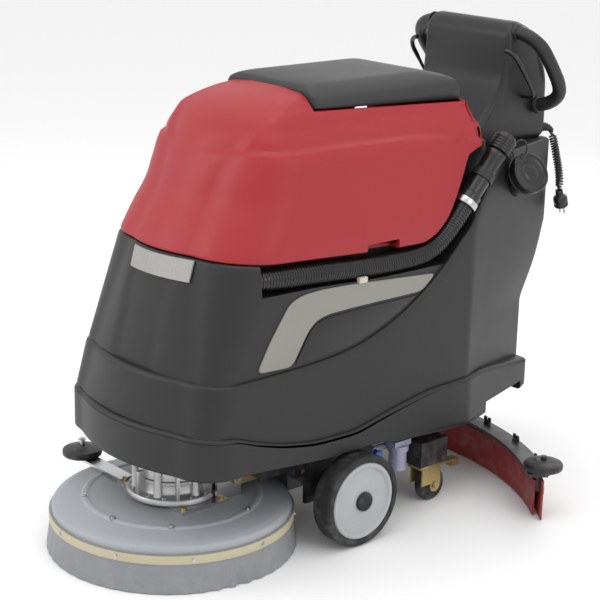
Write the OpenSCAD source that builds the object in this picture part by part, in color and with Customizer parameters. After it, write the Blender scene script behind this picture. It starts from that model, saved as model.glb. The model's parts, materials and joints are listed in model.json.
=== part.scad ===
// Walk-behind wet and dry floor scrubber: one disc brush, tilting recovery tank, arched squeegee.
// +Z is up and the machine drives towards -Y. The origin is on the floor, under the middle of the
// box. Lengths below are measured from the main wheel axle, and along() moves them into place.

/* [Body] */
// Width over the bottom tier of the lower body
body_w = 484; // [440:1:580]
// From the axle to the front of the bottom tier
body_front = 442; // [430:1:530]
// From the axle to the back of the column
column_rear = 700; // [690:1:840]
// Height of the front edge that the recovery tank closes on
seat_z = 640; // [600:1:700]
// How far each tier of the lower body stands out from the one above it
tier_step = 9; // [5:1:14]
// Wall of the moulded body and tanks
wall = 6; // [4:0.5:9]

/* [Recovery tank] */
// Width of the tank at its lower edge
tank_w = 444; // [400:1:484]
// Height from the seat to the top of the tank in front of the lid
tank_h = 300; // [240:1:360]
// Width of the lid at its lower edge
lid_w = 280; // [200:1:300]
// Length of the lid
lid_l = 440; // [300:1:446]
// Height of the lid
lid_h = 50; // [36:1:60]
// Gap between the tank and the body
tank_gap = 3; // [2:0.5:6]

/* [Main wheels] */
// Diameter of the tyre
wheel_d = 200; // [180:1:204]
// Width of the tyre
wheel_w = 55; // [40:1:66]
// Diameter of the steel rim disc inside the tyre
rim_d = 168; // [120:1:172]
// Diameter of the axle
axle_d = 20; // [14:1:28]

/* [Casters] */
// Diameter of the caster wheel
caster_d = 75; // [60:1:84]
// Width of the caster wheel
caster_w = 26; // [18:1:32]
// From the axle to the caster's swivel stem
caster_y = 262; // [250:1:300]
// From the middle of the machine to the swivel stem
caster_x = 185; // [160:1:190]
// How far the caster's wheel trails its stem
caster_trail = 28; // [18:1:34]

/* [Brush deck] */
// Diameter of the deck cover
deck_d = 500; // [420:1:560]
// From the axle to the centre of the brush
deck_y = 291; // [285:1:340]
// Height of the deck cover's edge
deck_z = 96; // [90:1:110]
// How far the splash skirt flares out beyond the cover
skirt_flare = 12; // [6:1:16]
// Diameter of the gearmotor
motor_d = 110; // [80:1:150]
// Diameter of the wall roller at the front and at the ends of the squeegee
roller_d = 86; // [60:1:96]
// Highest turn of the lift arms that carry the deck, in degrees
deck_lift = 15; // [8:1:15]

/* [Squeegee] */
// Radius of the squeegee's arch
arch_r = 650; // [600:1:760]
// From the axle to the middle of the arch's blade
arch_y = 556; // [540:1:580]
// Half of the width of the squeegee's blades
blade_half = 428; // [380:1:440]
// Thickness of a squeegee blade
blade_t = 4; // [3:0.5:6]
// Gap under the blades when the squeegee rests on its stop
blade_gap = 1.5; // [0.5:0.5:4]

/* [Console] */
// Width of the console
console_w = 260; // [230:1:290]
// Height of the console's top edge
console_z = 1044; // [1020:1:1110]
// Diameter of the tube of the hand grips
grip_d = 31; // [24:1:36]
// Diameter of the start lever's rod
lever_d = 8; // [6:0.5:10]
// Diameter of the filler cap
cap_d = 92; // [70:1:100]

/* [Hoses] */
// Outer diameter of the drain hose
hose_d = 46; // [34:1:46]
// Outer diameter of the squeegee's suction hose
suction_d = 44; // [34:1:50]
// Outer diameter of the curly charger cord
curl_d = 20; // [14:1:22]

/* [Hidden] */
$fn = 64;

// Running clearances: a shaft in its hole, and faces that pass each other
fit = 0.05;
clear = 0.5;

hw = body_w / 2;
wheel_r = wheel_d / 2;
wheel_gap = 2;
skirt_r = deck_d / 2 + skirt_flare;
front_most = -deck_y - skirt_r;
y_shift = -(column_rear + front_most) / 2;
wheel_in = hw - 20;                      // inner face of a tyre
wheel_out = wheel_in + wheel_w;
sole_z = wheel_d + wheel_gap;            // underside of the body over the axle
step_lo = 314;                           // top of the bottom tier at the front
step_hi = 413;                           // top of the middle tier at the front
floor_in = 214;                          // floor of the battery bay
body_rear = column_rear - 68;
column_top = 770;
column_in = 432;                         // front face of the column
recess_z = 568;                          // shelf that carries the drain hose
core_w = 352;                            // width of the body behind the hose recess
taper_y = 345;                           // where the sides begin to close in towards the back
taper_hw = 120;
bay_x = 150;
bay_front = -150;
bay_rear = 250;
tank_hw = tank_w / 2;
lid_front = -50;
lid_rear = lid_front + lid_l;
lid_seat = seat_z + tank_h - 32;         // lid's lower edge at its front
lid_fall = 0.042;                        // the lid's lower edge falls towards the back
rail_x = 150;
rail_z = 152;
rail_h = 40;
plate_x = 160;                           // outer face of the axle plates
arm_y = -70;
arm_z = 148;
arm_l = 130;
arm_x = 100;
arch_c = arch_y - arch_r;                // centre of the squeegee's arch
plate_t = 7;                             // thickness of the squeegee's plate
blade_top = 92;
plate_z = 96;
pedal_x = 123;
pedal_y = 584;
pedal_z = 128;
lift_y = 330;
lift_z = 125;
cap_at = [211, 521.5, 714.6];
cap_turn = [0, 60, -10];
lever_y = 600;
hitch_y = 596;                           // pivot of the squeegee lever, on the right-hand side
hitch_z = 802;
lever_z = 872;

// Route of the drain hose, from its grommet in the body to the cuff on the column
drain_path = [
    [196, -244, 600], [203, -215, 600], [206, -167, 598], [207, -110, 595], [207, -50, 591],
    [207, 10, 587], [207, 70, 584], [207, 130, 583], [207, 185, 584], [207, 228, 591],
    [208, 262, 608], [209, 290, 632], [210, 312, 655], [210, 330, 675]
];
cuff_end = [214, 424, 780];
// Route of the suction hose, from the squeegee up into the back of the body
suction_path = [
    [0, 548, 127.2], [0, 548.4, 142], [0, 566, 166], [0, 600, 180], [0, 632, 190], [0, 655, 208], [0, 666, 234],
    [0, 668, 262], [0, 660, 296], [0, 640, 322], [0, 606, 338]
];
// Route of the curly charger cord, from its gland down to the plug
cord_path = [
    [118, 716, 776], [124, 722, 752], [131, 724, 724], [139, 725, 696], [147, 722, 668],
    [152, 716, 648]
];
// Centre line of the left hand grip, and of the left arm of the start lever
grip_path = [
    [110, 566, 1020], [140, 568, 1017], [166, 573, 1007], [184, 584, 990], [190, 600, 966],
    [190, 626, 932], [189, 644, 905], [182, 656, 882], [166, 658, 864], [142, 652, 852],
    [108, 642, 845]
];
lever_path = [
    [126, lever_y, lever_z], [148, lever_y - 1, lever_z + 1], [160, 594, 880], [165, 580, 898],
    [165, 556, 930], [164, 538, 954], [158, 528, 970], [147, 523, 979], [136, 521, 982]
];

// ---- plain helpers -------------------------------------------------------------------------

module along() translate([0, y_shift, 0]) children();
module pair() { children(); mirror([1, 0, 0]) children(); }

// A profile given as [y, z] points, drawn out across the machine
module across(width) rotate([90, 0, 90]) linear_extrude(width, center = true) children();
// A profile given as [x, z] points, drawn out along the machine
module lengthwise(y0, y1) translate([0, y1, 0]) rotate([90, 0, 0]) linear_extrude(y1 - y0) children();
module slab(x0, x1, y0, y1, z0, z1) translate([x0, y0, z0]) cube([x1 - x0, y1 - y0, z1 - z0]);
module rod_x(x0, x1, y, z, r) translate([x0, y, z]) rotate([0, 90, 0]) cylinder(h = x1 - x0, r = r);

function unit(v) = v / norm(v);
function heading(p, i) =
    i == 0 ? unit(p[1] - p[0]) :
    i == len(p) - 1 ? unit(p[i] - p[i - 1]) :
    unit(unit(p[i + 1] - p[i]) + unit(p[i] - p[i - 1]));
function ring(p, i, r, n, ref) =
    let(t = heading(p, i), s = unit(cross(ref, t)), u = cross(t, s))
    [for (k = [0:n - 1]) p[i] + r * (cos(360 * k / n) * s + sin(360 * k / n) * u)];
// Round tube of radius r through the points p; ref is a direction that no stretch runs along
module tube(p, r, n = 12, ref = [1, 0, 0]) {
    m = len(p);
    points = [for (i = [0:m - 1]) each ring(p, i, r, n, ref)];
    sides = [for (i = [0:m - 2], k = [0:n - 1]) let(a = i * n + k, b = i * n + (k + 1) % n)
        each [[a, a + n, b], [b, a + n, b + n]]];
    ends = [[for (k = [0:n - 1]) k], [for (k = [n - 1:-1:0]) (m - 1) * n + k]];
    polyhedron(points, concat(sides, ends), convexity = 4);
}
function corner_arc(cx, cy, r, a0, a1, n = 6) =
    [for (i = [0:n]) let(a = a0 + (a1 - a0) * i / n) [cx + r * cos(a), cy + r * sin(a)]];
function mirrored(half) = concat(half, [for (i = [len(half) - 1:-1:0]) [-half[i][0], half[i][1]]]);

// Outline of the body seen from above: bowed front, round front corners, tapered back
function body_half(w, front, bow, r, taper_y, back, back_hw) = concat(
    [for (i = [0:4]) let(x = (w - r) * i / 4) [x, front + bow * pow(i / 4, 2)]],
    corner_arc(w - r, front + bow + r, r, -80, 0, 5),
    [[w, taper_y], [back_hw + 14, back - 10], [back_hw - 6, back]]
);
module body_plan(w, front, bow, r, taper_y, back, back_hw, z0, z1)
    translate([0, 0, z0]) linear_extrude(z1 - z0)
        polygon(mirrored(body_half(w, front, bow, r, taper_y, back, back_hw)));

// ---- lower body ----------------------------------------------------------------------------

// Underside of the body, seen from the side
sole = [
    [-520, sole_z + 18], [-308, sole_z + 17], [-151, sole_z + 6], [-60, sole_z], [60, sole_z],
    [136, sole_z - 12], [291, sole_z - 21], [388, sole_z - 25], [560, sole_z - 25],
    [body_rear, sole_z - 8]
];
// Top edge of the bottom tier, from front to back
tier_line = [
    [-520, step_lo + 2], [-330, step_lo - 8], [-254, step_lo - 32], [-175, step_lo - 53],
    [-93, step_lo - 65], [-9, step_lo - 67], [77, step_lo - 52], [136, step_lo - 40],
    [257, step_lo - 24], [385, step_lo - 23], [560, step_lo - 46], [body_rear, step_lo - 56]
];
// Top edge of the middle tier, which sweeps up into the column
swoosh = [
    [-520, step_hi + 3], [-300, step_hi - 3], [-144, step_hi - 1], [-35, step_hi + 7],
    [21, step_hi + 17], [77, step_hi + 34], [134, step_hi + 58], [192, step_hi + 92],
    [250, step_hi + 135], [307, step_hi + 190], [344, step_hi + 226], [398, step_hi + 292],
    [448, column_top - 24], [column_in + 36, column_top]
];
// Shelf along each side that the drain hose lies on
shelf = [
    [-245, recess_z + 4], [-110, recess_z + 2], [10, recess_z - 4.6], [70, recess_z - 7.6],
    [130, recess_z - 8.6], [460, recess_z - 8.6]
];
// Back of the battery bay's walls, which the tank's sloping back closes on
slope = [
    [-260, seat_z - 7], [195, seat_z - 31], [232, seat_z - 22], [270, seat_z + 6],
    [300, seat_z + 47], [327, seat_z + 101], [343, seat_z + 136], [402, seat_z + 156],
    [428, seat_z + 162], [434, column_top], [460, column_top]
];
function reversed(p) = [for (i = [len(p) - 1:-1:0]) p[i]];

side_x = hw - 2 * tier_step;
// Upper front of the body, leaning back; t grows it outwards
module nose(t) hull() {
    body_plan(side_x + t, -body_front + 44 - t, 30, 55, taper_y, 470, 177, 300, step_hi);
    body_plan(side_x + t, -body_front + 98 - t, 28, 115, taper_y, 470, 177, seat_z - 1, seat_z);
}
module outer_body() {
    intersection() {
        body_plan(hw, -body_front, 36, 80, taper_y, body_rear, 150, 150, 360);
        across(body_w + 20) polygon(concat(sole, reversed(tier_line)));
    }
    intersection() {
        hull() {
            body_plan(hw - tier_step, -body_front + 12, 34, 60, taper_y, column_rear, taper_hw, 150, step_lo);
            body_plan(hw - tier_step, -body_front + 32, 32, 80, taper_y, column_rear, taper_hw, step_hi, 900);
        }
        across(body_w + 20) polygon(concat(sole,
            [[body_rear, 400], [column_rear - 22, 500], [column_rear, 580],
             [column_rear, column_top]], reversed(swoosh)));
    }
    intersection() {
        nose(0);
        across(body_w + 20) polygon(concat([[460, 330], [-520, 330], [-520, seat_z + 8],
            [-body_front + 101, seat_z], [-245, seat_z - 6]], shelf));
    }
    intersection() {
        body_plan(core_w / 2, -body_front, 30, 40, 420, 470, 150, 300, 900);
        across(body_w + 20) polygon(concat([[460, 330], [-260, 330]], slope));
    }
}
// Room for the water: round the battery bay, and in the front of the body
module water_chamber() {
    intersection() {
        nose(-12);
        slab(-195, 195, -400, bay_front - wall, 336, seat_z - 46);
    }
    pair() slab(bay_x + wall + 2, side_x - 10, -200, 360, floor_in + 16, recess_z - 18);
    slab(-bay_x - wall - 14, bay_x + wall + 14, bay_rear + wall, column_in + 14, floor_in + 26, recess_z - 8);
    // duct from the filler opening
    translate([148, cap_at[1] + 8, cap_at[2] - 30]) rotate([149, 0, 0]) cylinder(h = 190, r = 20);
    // outlet down to the filter
    translate([165, -180, 0]) cylinder(h = 345, r = 8);
}
// Ears at the back of the body that carry the deck's pedal
module pedal_ears() difference() {
    for (x = [-pedal_x - 30, -pedal_x + 22])
        slab(x, x + 8, pedal_y - 15, pedal_y + 15, pedal_z - 12, floor_in + 6);
    rod_x(-pedal_x - 60, -pedal_x + 60, pedal_y, pedal_z, 7 + fit);
}
module solution_tank() along() color([0.09, 0.09, 0.1]) {
    difference() {
        outer_body();
        // battery bay, open to the tank above it
        slab(-bay_x, bay_x, bay_front, bay_rear, floor_in, 900);
        water_chamber();
        // hollow column
        slab(-95, 95, 455, body_rear - 20, 330, column_top + 40);
        // room under the body for the frame, the deck's motor and the wheels
        slab(-hw + 24, hw - 24, -390, body_rear - 30, 0, floor_in - wall);
        translate([0, -deck_y, 0]) cylinder(h = 325, d = motor_d + 100);
        translate([0, arch_y - 14, 0]) cylinder(h = 338, d = suction_d + 30);
        slab(-suction_d / 2 - 4, suction_d / 2 + 4, body_rear - 40, body_rear + 10, 0, 220);
        // filler opening in the side of the column
        translate(cap_at) rotate(cap_turn) translate([0, 0, -62]) cylinder(h = 100, r = cap_d / 2 - 16);
        // where the drain hose and the suction hose go in
        tube([[150, -262, 600], drain_path[0], drain_path[1], drain_path[2]], hose_d / 2 + 3);
        tube([suction_path[8], suction_path[9], suction_path[10]], suction_d / 2 + clear);
    }
    pedal_ears();
}
module name_plate() along() color([0.72, 0.71, 0.68]) difference() {
    intersection() {
        nose(2.5);
        slab(-62, 110, -500, -300, seat_z - 46, seat_z - 4);
    }
    nose(0);
}

// Bright sweep on each side of the body, and the dark panel under it
stripe = [
    [-257, step_hi + 8], [-225, step_hi + 66], [-175, step_hi + 136], [-142, recess_z - 7],
    [-89, recess_z - 4], [8, recess_z - 8], [236, recess_z - 24], [196, 511], [10, 511],
    [-73, 509], [-105, 501], [-126, 482], [-166, step_hi + 4]
];
inset = [
    [-158, step_hi + 6], [-120, 481], [-100, 496], [-72, 503], [10, 505], [186, 505],
    [128, step_hi + 62], [74, step_hi + 40], [18, step_hi + 22], [-35, step_hi + 13]
];
module side_stripes() along() color([0.62, 0.6, 0.56]) pair()
    translate([side_x + 1.5, 0, 0]) across(3) polygon(stripe);
module side_insets() along() color([0.04, 0.04, 0.05]) pair()
    translate([side_x + 1, 0, 0]) across(2) polygon(inset);

module chassis_frame() along() color([0.12, 0.12, 0.13]) difference() {
    union() {
        pair() slab(rail_x - 32, rail_x, -175, 452, rail_z, rail_z + rail_h);
        slab(-rail_x + 16, rail_x - 16, 120, 160, rail_z, rail_z + rail_h);
        slab(-rail_x + 16, rail_x - 16, 412, 452, rail_z, rail_z + rail_h);
        slab(-rail_x + 16, rail_x - 16, -46, -20, rail_z, rail_z + rail_h);
        // axle plates, and what holds the pivot of the lift arms
        pair() slab(rail_x, plate_x, -60, 60, wheel_r - 28, rail_z + rail_h);
        pair() slab(rail_x, plate_x, arm_y - 14, -50, arm_z - 11, rail_z + rail_h);
        // pads that the body stands on
        for (y = [-165, 125, 417])
            pair() slab(rail_x - 28, rail_x - 4, y, y + 30, rail_z + rail_h, floor_in - wall);
        pair() rod_x(plate_x, plate_x + 24, 0, wheel_r, axle_d / 2 + 14);
        // caster brackets under the rails
        pair() slab(rail_x - 32, caster_x + 28, caster_y - 30, caster_y + 52, caster_d + 19, rail_z);
        // ears that hold the squeegee's pivot
        pair() slab(62, 70, lift_y - 22, lift_y + 22, lift_z - 20, rail_z + rail_h);
        slab(-118, 118, lift_y - 22, lift_y + 22, rail_z + 8, rail_z + rail_h);
    }
    rod_x(-300, 300, 0, wheel_r, axle_d / 2);
    pair() rod_x(rail_x - 40, plate_x + 1, arm_y, arm_z, 6 + fit);
    rod_x(-100, 100, lift_y, lift_z, 6 + fit);
    pair() translate([caster_x, caster_y, 0]) cylinder(h = rail_z - 6, r = 8 + fit);
}
module wheel_axle() along() color([0.6, 0.6, 0.62])
    rod_x(-wheel_out + 9, wheel_out - 9, 0, wheel_r, axle_d / 2);
module drive_transaxle() along() color([0.2, 0.2, 0.21]) difference() {
    union() {
        slab(-52, 52, -16, 60, wheel_r - 46, wheel_r + 46);
        rod_x(-rail_x, -52, 0, wheel_r, axle_d / 2 + 9);
        rod_x(52, rail_x, 0, wheel_r, axle_d / 2 + 9);
        rod_x(-66, 70, 66, wheel_r + 8, 34);
        slab(-40, 40, 0, 66, wheel_r - 20, wheel_r + 34);
    }
    rod_x(-300, 300, 0, wheel_r, axle_d / 2);
}
module batteries() along() color([0.16, 0.16, 0.18]) {
    for (y = [-140, 60]) difference() {
        union() {
            slab(-132, 132, y, y + 176, floor_in, floor_in + 216);
            for (x = [-90, 90]) translate([x, y + 88, floor_in + 215]) cylinder(h = 17, r = 9);
        }
        for (x = [-90, 90]) translate([x, y + 88, floor_in + 222]) cylinder(h = 12, r = 4);
    }
}
module suction_motor() along() color([0.3, 0.3, 0.32]) difference() {
    union() {
        translate([0, 530, 470]) cylinder(h = 95, r = 68);
        translate([0, 530, 565]) cylinder(h = 60, r = 46);
        translate([0, 530, 452]) cylinder(h = 18, r = 30);
    }
    translate([0, 530, 451]) cylinder(h = 60, r = 22);
}
module battery_charger() along() color([0.25, 0.26, 0.28]) {
    slab(-70, 70, 480, 590, 660, 742);
    for (i = [0:7]) slab(-66 + i * 18, -60 + i * 18, 484, 586, 742, 752);
}

// ---- hoses and cords -----------------------------------------------------------------------

module drain_hose() along() color([0.07, 0.07, 0.08]) tube(drain_path, hose_d / 2, 12);
cuff_start = drain_path[len(drain_path) - 1];
cuff_dir = unit(cuff_end - cuff_start);
cuff_l = norm(cuff_end - cuff_start);
cuff_lean = acos(cuff_dir[2]);
cuff_yaw = atan2(cuff_dir[1], cuff_dir[0]);
module on_cuff(s) translate(cuff_start + s * cuff_dir) rotate([0, cuff_lean, cuff_yaw]) children();
module drain_cuff() along() color([0.1, 0.1, 0.11]) {
    on_cuff(0) cylinder(h = 30, r = hose_d / 2 + 2);
    on_cuff(30) cylinder(h = cuff_l - 30, r = hose_d / 2 - 1);
}
module drain_collar() along() color([0.08, 0.08, 0.09]) {
    on_cuff(cuff_l) cylinder(h = 12, r = hose_d / 2 + 4);
    on_cuff(cuff_l + 12) cylinder(h = 26, r = hose_d / 2 + 2);
    on_cuff(cuff_l + 38) cylinder(h = 6, r = hose_d / 2 - 3);
}
module suction_hose() along() color([0.07, 0.07, 0.08]) tube(suction_path, suction_d / 2, 12);
module gland_stem(r) translate([104, column_rear - 12, 790]) rotate([-90, 0, -22])
    cylinder(h = 26, r = r);
module cord_gland() along() color([0.08, 0.08, 0.09]) {
    gland_stem(13);
    translate([118, 716, 776]) cylinder(h = 15, r = curl_d / 2 + 1);
}
module charger_cord() along() color([0.06, 0.06, 0.07]) tube(cord_path, curl_d / 2, 10);
plug_top = cord_path[len(cord_path) - 1];
module charger_plug() along() color([0.07, 0.07, 0.08]) translate(plug_top) rotate([18, 0, 0]) {
    translate([0, 0, -16]) cylinder(h = 16, r = 9);
    translate([0, 0, -44]) cylinder(h = 28, r = 17);
    for (x = [-6.5, 6.5]) translate([x, 0, -62]) cylinder(h = 18, r = 2.4);
}

// ---- console -------------------------------------------------------------------------------

console_side = [
    [column_in + 6, column_top], [column_in + 26, 806], [500, 856], [531, 905],
    [536, 950], [538, console_z - 26], [552, console_z - 5], [575, console_z],
    [628, console_z - 24], [672, 930], [690, 880], [column_rear - 4, 830],
    [column_rear - 4, column_top]
];
module console_body(side, x) intersection() {
    across(2 * x + 1) polygon(side);
    lengthwise(column_in, column_rear + 20) polygon([
        [-x + 12, 600], [x - 12, 600], [x - 12, 850], [x, 930], [x, 1006], [x - 16, 1200],
        [-x + 16, 1200], [-x, 1006], [-x, 930], [-x + 12, 850]]);
}
module console_shell() along() color([0.13, 0.13, 0.14]) difference() {
    console_body(console_side, console_w / 2);
    // hollow, open to the column below
    slab(-console_w / 2 + 22, console_w / 2 - 22, 520, 650, 700, 880);
    slab(-console_w / 2 + 22, console_w / 2 - 22, 552, 616, 879, console_z - 46);
    // shaft of the start lever, and seat of the control panel
    rod_x(-200, 200, lever_y, lever_z, lever_d / 2 + fit);
    panel_place() slab(-86, 86, -62, 62, -3, 30);
    panel_place() for (x = [-24, 24]) translate([x, -20, -40]) cylinder(h = 50, r = 9 + 0.4);
    panel_place() translate([58, -20, -40]) cylinder(h = 50, r = 6 + fit);
    rod_x(-console_w, -console_w / 2 + 31, hitch_y, hitch_z, 7 + fit);
    // sockets of the hand grips and the cord gland
    pair() socket(grip_path[0], grip_path[1]);
    pair() socket(grip_path[len(grip_path) - 1], grip_path[len(grip_path) - 2]);
    gland_stem(13);
}
// Hole for a grip's end at a, heading for b
module socket(a, b) {
    d = unit(b - a);
    translate(a) rotate([0, acos(d[2]), atan2(d[1], d[0])]) cylinder(h = 60, r = grip_d / 2 + 0.2);
}
module panel_place() translate([0, 653, 972]) rotate([-65, 0, 0]) children();
module control_panel() along() color([0.16, 0.17, 0.19]) panel_place() difference() {
    slab(-84, 84, -60, 60, -3, 2);
    slab(-40, 40, 8, 46, 1, 3);
    for (x = [-24, 24]) translate([x, -20, -9]) cylinder(h = 20, r = 9 + 0.4);
    translate([58, -20, -9]) cylinder(h = 20, r = 6 + fit);
}
module panel_button(x) along() panel_place() {
    translate([x, -20, -6]) cylinder(h = 11, r = 9);
}
module button_brush() color([0.1, 0.45, 0.2]) panel_button(-24);
module button_suction() color([0.1, 0.3, 0.6]) panel_button(24);
module key() along() color([0.7, 0.7, 0.72]) panel_place() {
    translate([58, -20, -8]) cylinder(h = 14, r = 6);
    translate([58 - 1.5, -32, 6]) cube([3, 24, 22]);
}
module hand_grips() along() color([0.12, 0.12, 0.13]) pair()
    tube(grip_path, grip_d / 2, 14, [0, 0.8, 0.6]);
module start_lever() along() color([0.08, 0.08, 0.09]) {
    rod_x(-128, 128, lever_y, lever_z, lever_d / 2);
    pair() tube(lever_path, lever_d / 2, 10, [0.35, 0.75, 0.56]);
}
module squeegee_lever() along() color([0.1, 0.1, 0.11])
    translate([-console_w / 2, hitch_y, hitch_z]) rotate([-15, 0, 0]) {
        rod_x(-4, 30, 0, 0, 7);
        slab(-4, 4, 0, 76, -6, 6);
        rod_x(-16, 4, 76, 0, 12);
    }
module filler_neck() along() color([0.1, 0.1, 0.11]) translate(cap_at) rotate(cap_turn)
    difference() {
        union() {
            translate([0, 0, -46]) cylinder(h = 42, r = cap_d / 2 - 17);
            translate([0, 0, -4]) cylinder(h = 16, r = cap_d / 2 - 10);
        }
        translate([0, 0, -60]) cylinder(h = 90, r = cap_d / 2 - 20);
    }
module filler_cap() along() color([0.06, 0.06, 0.07]) translate(cap_at) rotate(cap_turn)
    difference() {
        translate([0, 0, 2]) cylinder(h = 27, r = cap_d / 2);
        translate([0, 0, 1]) cylinder(h = 11 + clear, r = cap_d / 2 - 9.5);
    }

// ---- recovery tank -------------------------------------------------------------------------

tank_top = seat_z + tank_h;
// Slices of the tank: height over the seat, set-back of the front, how much narrower, corner radius
tank_slices = [
    [-60, 99, 0, 122], [60, 130, 6, 122], [104, 157, 10, 122], [152, 177, 14, 115],
    [197, 202, 32, 86], [222, 216, 46, 60], [245, 235, 58, 40], [267, 266, 72, 22],
    [285, 312, 92, 20], [304, 384, 122, 20]
];
module tank_block(w, t) {
    top = tank_top - t;
    lo = seat_z + tank_gap - 1 + t;
    intersection() {
        across(w) polygon([
            [-body_front + 101 + t, lo], [-body_front + 112 + t, lo + 23],
            [-body_front + 130 + t, lo + 58], [-body_front + 157 + t, lo + 102],
            [-body_front + 177 + t, lo + 150], [-body_front + 202 + t, top - 103],
            [-body_front + 216 + t, top - 78], [-body_front + 235 + t, top - 55],
            [-body_front + 266 + t, top - 33], [-body_front + 312 + t, top - 15],
            [lid_front - 8 + t, top + 3], [lid_front - 2 + t, lid_seat - 3 - t],
            [lid_rear, lid_seat - 3 - t - lid_fall * lid_l],
            [lid_rear + 6 - t, lid_seat - 44 - lid_fall * lid_l], [412 - t, 838], [422 - t, 806],
            [402 - t, 800], [340 - t, 780], [324 - t, 744], [297 - t, 690], [268 - t, 650],
            [231 - t, 622 + t], [195 - t, 612 + t], [136 - t, 613 + t], [-142, lo - 14],
            [-230, lo - 7]]);
        lengthwise(-body_front, 470) polygon(mirrored([
            [0, 560], [w / 2, 560], [w / 2, lo + 10], [w / 2 - 11, lo + 96], [w / 2 - 19, top - 122],
            [w / 2 - 26, top - 112], [w / 2 - 38, top - 102], [w / 2 - 60, top - 58],
            [w / 2 - 78, top - 34], [w / 2 - 100, top - 10], [w / 2 - 122, top + 3], [0, top + 12]]));
        hull() for (s = tank_slices)
            body_plan(w / 2 - s[2], -body_front + s[1] + t, 22, s[3], 380, 430 - t,
                min(170, w / 2 - s[2] - 20), seat_z + s[0], seat_z + s[0] + 1);
    }
}
module recovery_tank() along() color([0.68, 0.13, 0.15]) difference() {
    tank_block(tank_w, 0);
    tank_block(tank_w - 2 * wall, wall);
    // mouth under the lid
    slab(-lid_w / 2 + 34, lid_w / 2 - 34, lid_front + 40, lid_rear - 60, tank_top - 120, tank_top);
    // finger pull under the left edge
    slab(tank_w / 2 - 30, tank_w / 2 + 10, 37, 128, 560, 634);
}
module float_cage() along() color([0.75, 0.75, 0.7]) difference() {
    translate([0, 188, 630]) cylinder(h = 208, r = 38);
    translate([0, 188, 634]) cylinder(h = 230, r = 34);
    for (a = [0:45:315]) translate([0, 188, 656]) rotate([0, 0, a]) slab(30, 44, -6, 6, 0, 160);
}
lid_shape = mirrored([[0, 600], [lid_w / 2, 600], [lid_w / 2, tank_top - 22],
    [lid_w / 2 - 6, tank_top - 10], [lid_w / 2 - 34, tank_top + 12],
    [lid_w / 2 - 80, tank_top + 21], [0, tank_top + 25]]);
module tank_lid() along() color([0.2, 0.2, 0.21]) difference() {
    intersection() {
        across(lid_w + 2) polygon([
            [lid_front, lid_seat], [lid_rear, lid_seat - lid_fall * lid_l],
            [lid_rear - 6, lid_seat + 26 - lid_fall * lid_l],
            [lid_rear - 22, lid_seat + lid_h - 6 - lid_fall * lid_l],
            [lid_rear - 150, tank_top + 22], [lid_front + 150, tank_top + 26],
            [lid_front + 60, tank_top + 20], [lid_front + 1, tank_top + 7]]);
        lengthwise(-body_front, 470) polygon(lid_shape);
        translate([0, 0, 800]) linear_extrude(300) polygon(mirrored([
            [0, lid_front], [lid_w / 2 - 12, lid_front], [lid_w / 2, lid_front + 14],
            [lid_w / 2, lid_rear - 26], [lid_w / 2 - 26, lid_rear], [0, lid_rear]]));
    }
    // hollow underside
    across(lid_w - 30) polygon([
        [lid_front + 20, lid_seat - 10], [lid_rear - 30, lid_seat - 10 - lid_fall * lid_l],
        [lid_rear - 30, lid_seat + 18 - lid_fall * lid_l], [lid_front + 20, lid_seat + 20]]);
}
module lid_seal() along() color([0.05, 0.05, 0.05]) intersection() {
    across(lid_w) polygon([
        [lid_front + 20, lid_seat - 2.4 - lid_fall * 20],
        [lid_rear - 30, lid_seat - 2.4 - lid_fall * (lid_l - 30)],
        [lid_rear - 30, lid_seat + 8 - lid_fall * (lid_l - 30)],
        [lid_front + 20, lid_seat + 8 - lid_fall * 20]]);
    difference() {
        slab(-lid_w / 2 + 15, lid_w / 2 - 15, lid_front + 20, lid_rear - 30, 800, 1000);
        slab(-lid_w / 2 + 27, lid_w / 2 - 27, lid_front + 32, lid_rear - 42, 790, 1010);
    }
}

// ---- brush deck ----------------------------------------------------------------------------

deck_r = deck_d / 2;
skirt_t = 4;
module at_deck() translate([0, -deck_y, 0]) children();
module deck_arms() along() color([0.55, 0.55, 0.57]) {
    pair() difference() {
        union() {
            rod_x(arm_x, arm_x + 6, arm_y, arm_z, 13);
            rod_x(arm_x, arm_x + 6, arm_y - arm_l, arm_z, 13);
            slab(arm_x, arm_x + 6, arm_y - arm_l, arm_y, arm_z - 13, arm_z + 13);
        }
        rod_x(arm_x - 1, arm_x + 8, arm_y - arm_l, arm_z, 6 + fit);
    }
    rod_x(-plate_x + 1, -arm_x, arm_y, arm_z, 6);
    rod_x(arm_x, plate_x - 1, arm_y, arm_z, 6);
    rod_x(-arm_x - 1, arm_x + 1, arm_y, arm_z, 6);
}
module deck_cover() along() color([0.66, 0.66, 0.67]) at_deck() difference() {
    rotate_extrude($fn = 96) polygon([
        [0, deck_z + 12], [174, deck_z + 12], [178, deck_z + 14], [184, deck_z + 14],
        [188, deck_z + 10], [deck_r - 16, deck_z + 4], [deck_r - 4, deck_z], [deck_r, deck_z - 6],
        [deck_r, deck_z - 36], [deck_r - 5, deck_z - 36], [deck_r - 5, deck_z - 9],
        [deck_r - 18, deck_z - 2], [180, deck_z + 4], [0, deck_z + 4]]);
    translate([0, 0, deck_z]) cylinder(h = 30, r = 30);
}
module skirt_strap() along() color([0.78, 0.74, 0.6]) at_deck() difference() {
    translate([0, 0, deck_z - 34]) cylinder(h = 18, r = deck_r + skirt_t + 2, $fn = 96);
    translate([0, 0, deck_z - 40]) cylinder(h = 30, r = deck_r + skirt_t, $fn = 96);
}
module deck_skirt() along() color([0.6, 0.6, 0.61]) at_deck() rotate_extrude($fn = 96) polygon([
    [deck_r, deck_z - 14], [deck_r + skirt_t, deck_z - 14], [deck_r + skirt_t, deck_z - 36],
    [skirt_r, 2], [skirt_r - skirt_t, 2], [deck_r, deck_z - 36]]);
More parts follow.
